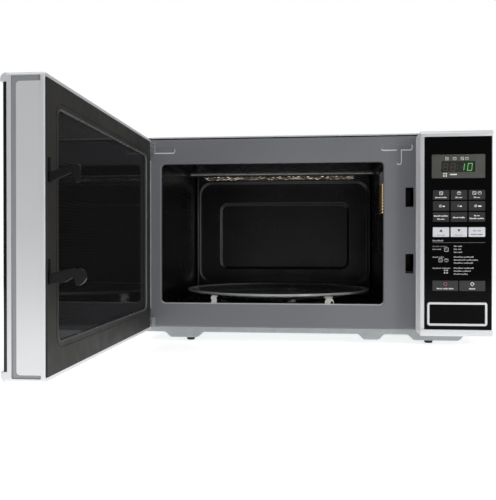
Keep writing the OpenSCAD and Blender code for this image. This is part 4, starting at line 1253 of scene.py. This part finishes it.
def latch_hooks():
    """Two hooks on one sliding bar, with their edges eased and their sides panelled."""
    low, high = hook_low, hook_high
    base = FRONT + 0.5
    z, tip = HOOK_NOSES[1], high.y - 5
    upper = [(FRONT - 12, z + 0.8), (base, z + 0.8), (tip - 7.1, z + 8), (tip - 3.9, z), (tip - 1.2, z),
             (tip - 0.4, z + 5), (tip, z + 9), (tip, z + 13), (tip - 1.6, z + 14.9), (tip - 7.5, z + 14.9),
             (base, z + 8.8), (FRONT - 12, z + 8.8)]
    upper_panel = [(base, z + 2.6), (tip - 6.6, z + 9.6), (tip - 3.2, z + 3), (tip - 1.8, z + 3),
                   (tip - 1.5, z + 12.6), (tip - 7.2, z + 13.2), (base, z + 7.2)]
    z, tip = HOOK_NOSES[0], high.y
    lower = [(FRONT - 12, z + 1.5), (base, z + 1.5), (tip - 18.5, z + 2.6), (tip - 10.4, z + 6.6),
             (tip - 8.4, z), (tip - 5.8, z), (tip - 2.4, z + 2.2), (tip, z + 6), (tip - 0.6, z + 9.9),
             (tip - 2.6, z + 12.6), (tip - 5.2, z + 13.9), (tip - 12.3, z + 13.9), (base, z + 10),
             (FRONT - 12, z + 10)]
    lower_panel = [(base, z + 3.2), (tip - 18.5, z + 4.4), (tip - 9.4, z + 8.4), (tip - 7.2, z + 2.4),
                   (tip - 3.6, z + 3.8), (tip - 1.7, z + 6.4), (tip - 3.8, z + 11.2), (tip - 12.2, z + 12.2),
                   (base, z + 8.4)]
    bm = None
    for outline, recess in ((upper, upper_panel), (lower, lower_panel)):
        hook = soften(fresh(prism, filleted(outline, 1.2), low.x, high.x, facing_x), 0.35, angle=50)
        for x0, x1 in ((low.x - 1, low.x + 0.4), (high.x - 0.4, high.x + 1)):
            hook = combine(hook, fresh(prism, filleted(recess, 0.8), x0, x1, facing_x))
        bm = hook if bm is None else combine(bm, hook, "UNION")
    joining_bar = fresh(slab, low.x, high.x, low.y, FRONT - 11, HOOK_NOSES[0] - 4, HOOK_NOSES[1] + 18, 0.4,
                        edge=0.2)
    piece("hooks", combine(bm, joining_bar, "UNION"), "latch_hooks", BLACK,
          ["latch_hooks"], shut=True)


# ---------------- turntable

def turntable():
    """Glass tray with its rim in milkier glass as a painted highlight, the roller ring with its axles, three
    wheels that glow as painted light and the coupler.
    """
    low, high = mm_box("glass_turntable")
    x, y = (low.x + high.x) / 2, (low.y + high.y) / 2
    r, under, rim = (high.x - low.x) / 2, low.z, high.z
    profile = [(0, under), (60, under), (103, under), (106, under + 0.2), (112, under + 1.4),
               (r - 8, rim - 5.2), (r - 3, rim - 4), (r - 1, rim - 3.4), (r - 0.1, rim - 2.7),
               (r, rim - 1.9), (r - 0.2, rim - 0.6), (r - 0.8, rim - 0.05), (r - 1.6, rim),
               (r - 3.4, rim - 0.4), (r - 8, rim - 1.5), (113, under + 6), (109, under + 5),
               (105, under + 4.2), (102, under + 4), (0, under + 4)]
    bm = fresh(lathe, profile, (x, y, 0), "z", 128)
    centre = Vector((x, y))
    # outer rim faces get the milkier glass: painted highlight
    shade(bm, 1, lambda face: (face.calc_center_median().xy - centre).length > r - 8.5)
    piece("glass_tray", bm, "turntable", [PLATE_GLASS, PLATE_RIM_PAINTED_HIGHLIGHT], ["glass_turntable"])

    rollers = [mm_box("roller_%d" % i) for i in (1, 2, 3)]
    level = (rollers[0][0].z + rollers[0][1].z) / 2
    inner, outer, half = 83, 89, 2
    section = filleted([(inner, level - half), (outer, level - half), (outer, level + half),
                        (inner, level + half)], 0.8, 3)
    ring = fresh(lathe, section, (x, y, 0), "z", 96)
    for i, (a, b) in enumerate(rollers):
        middle = (a + b) / 2
        out = Vector((middle.x - x, middle.y - y, 0))
        track = out.length
        turn = Matrix.Translation((x, y, level)) @ Matrix.Rotation(math.atan2(out.y, out.x), 4, "Z")
        end = track + 3.5
        spindle = [(0, outer - 1), (1.5, outer - 1), (1.5, end + 0.4), (2.4, end + 0.4), (2.6, end + 0.6),
                   (2.6, end + 1.5), (2.3, end + 1.8), (0, end + 1.8)]
        axle = fresh(lathe, spindle, (0, 0, 0), "x", 20)
        axle.transform(turn)
        scrap = bpy.data.meshes.new("axle")
        axle.to_mesh(scrap)
        ring.from_mesh(scrap)
        bpy.data.meshes.remove(scrap)
        r = (b.z - a.z) / 2
        tread = [(1.55, track - 3.5), (r - 1.6, track - 3.5), (r - 0.5, track - 3.2), (r, track - 2.5),
                 (r, track + 2.5), (r - 0.5, track + 3.2), (r - 1.6, track + 3.5), (r - 2, track + 2.9),
                 (3, track + 2.9), (2.7, track + 3.5), (1.55, track + 3.5)]
        wheel = fresh(lathe, tread, (0, 0, 0), "x", 36)
        wheel.transform(turn)
        name = "roller_%d" % (i + 1)
        # wheels glow faintly: painted light
        piece(name + "_wheel", wheel, name, WHEEL_PAINTED_GLOW, [name])
    piece("ring", ring, "roller_ring", DARK, ["roller_ring"])
    softened("drive_coupler", COUPLER, 0.5)


# ---------------- inside parts, as modelled

CARRIED = {
    "control_board": BOARD, "noise_filter": BOARD, "latch_board": BLACK, "release_slide": PALE,
    "interlock_switches": DARK, "magnetron": FINS, "high_voltage_capacitor": FINS,
    "high_voltage_transformer": COPPER, "high_voltage_diode": BLACK, "fan_motor": STEEL,
    "fan_shroud": PALE, "oven_lamp": BULB, "grill_heater": SHEATH, "heater_housing": ZINC,
    "turntable_motor": ZINC, "door_frame": SCREEN, "latch_spring": STEEL,
}


def carried_parts():
    for node, material in CARRIED.items():
        data = frame["nodes"][node].data
        data.materials.clear()
        data.materials.append(material)


for build in (wrap_cover, rear_panel, base_plate, feet, front_plate, cavity, waveguide_cover, hinges,
              cord_inlet, control_fascia, panel_insert, keys, display, display_digits, key_prints,
              panel_prints, release_button, door_bezel, door_glass, choke_cover, inner_window, door_screen,
              latch_hooks, turntable, carried_parts):
    build()
softened("case_screws", STEEL, 0.3)
softened("fan_blade", PALE, 0.3)


# ---------------- floor, light and camera

def floor():
    """Pale round floor that fades out before it meets the white surround."""
    finish = Finish("studio_floor", "f6f6f6", 0.7, specular=0.2)
    finish.mottle(3, 0.01).grain(400, 0.02).glow((1, 1, 1), 0.62)
    place = finish.node("ShaderNodeTexCoord")
    distance = finish.node("ShaderNodeVectorMath", operation="LENGTH")
    finish.link(place.outputs["Object"], distance.inputs[0])
    fade = finish.spread(distance.outputs["Value"], 1, 0, 0.9, 2.4)
    finish.link(fade, finish.shader.inputs["Alpha"])
    bm = bmesh.new()
    bm.faces.new([bm.verts.new((x, y, 0)) for x, y in circle(0, 0, 2.6, 96)])
    made = mesh_object("studio_floor", bm)
    made.data.materials.append(finish.made)


def area_light(name, place, target, size, energy, tint=(1, 1, 1)):
    data = bpy.data.lights.new(name, "AREA")
    data.shape = "RECTANGLE"
    data.size, data.size_y = size
    data.energy = energy
    data.color = tint
    made = bpy.data.objects.new(name, data)
    made.location = place
    made.rotation_euler = (Vector(target) - Vector(place)).to_track_quat("-Z", "Y").to_euler()
    made.visible_camera = False
    bpy.context.scene.collection.objects.link(made)


def surround():
    """White for the camera, dimmer as a source of light."""
    world = bpy.data.worlds.new("studio")
    bpy.context.scene.world = world
    world.use_nodes = True
    tree = world.node_tree
    tree.nodes.clear()
    output = tree.nodes.new("ShaderNodeOutputWorld")
    mix = tree.nodes.new("ShaderNodeMixShader")
    rays = tree.nodes.new("ShaderNodeLightPath")
    tree.links.new(rays.outputs["Is Camera Ray"], mix.inputs["Fac"])
    for strength, socket in ((0.25, mix.inputs[1]), (1.0, mix.inputs[2])):
        background = tree.nodes.new("ShaderNodeBackground")
        background.inputs["Color"].default_value = (1, 1, 1, 1)
        background.inputs["Strength"].default_value = strength
        tree.links.new(background.outputs["Background"], socket)
    tree.links.new(mix.outputs["Shader"], output.inputs["Surface"])


floor()
surround()
area_light("top_front", (-0.1, -0.8, 1.5), (0, -0.55, 0), (1.6, 1.4), 9)
area_light("right_front", (0.85, -1.25, 0.5), (0, 0, 0.15), (0.35, 0.8), 5)
area_light("back", (0, 0.6, 1.5), (0, 0, 0.1), (1.2, 0.8), 6)

bpy.context.scene.view_settings.view_transform = "Standard"

camera_data = bpy.data.cameras.new("camera")
camera_data.lens = 48.01
camera_data.sensor_width = 36
camera = bpy.data.objects.new("camera", camera_data)
camera.location = (0.005113, -1.01320, 0.12555)
camera.rotation_euler = (math.radians(90 - 0.37), 0, math.radians(5.70))
bpy.context.scene.collection.objects.link(camera)
bpy.context.scene.camera = camera
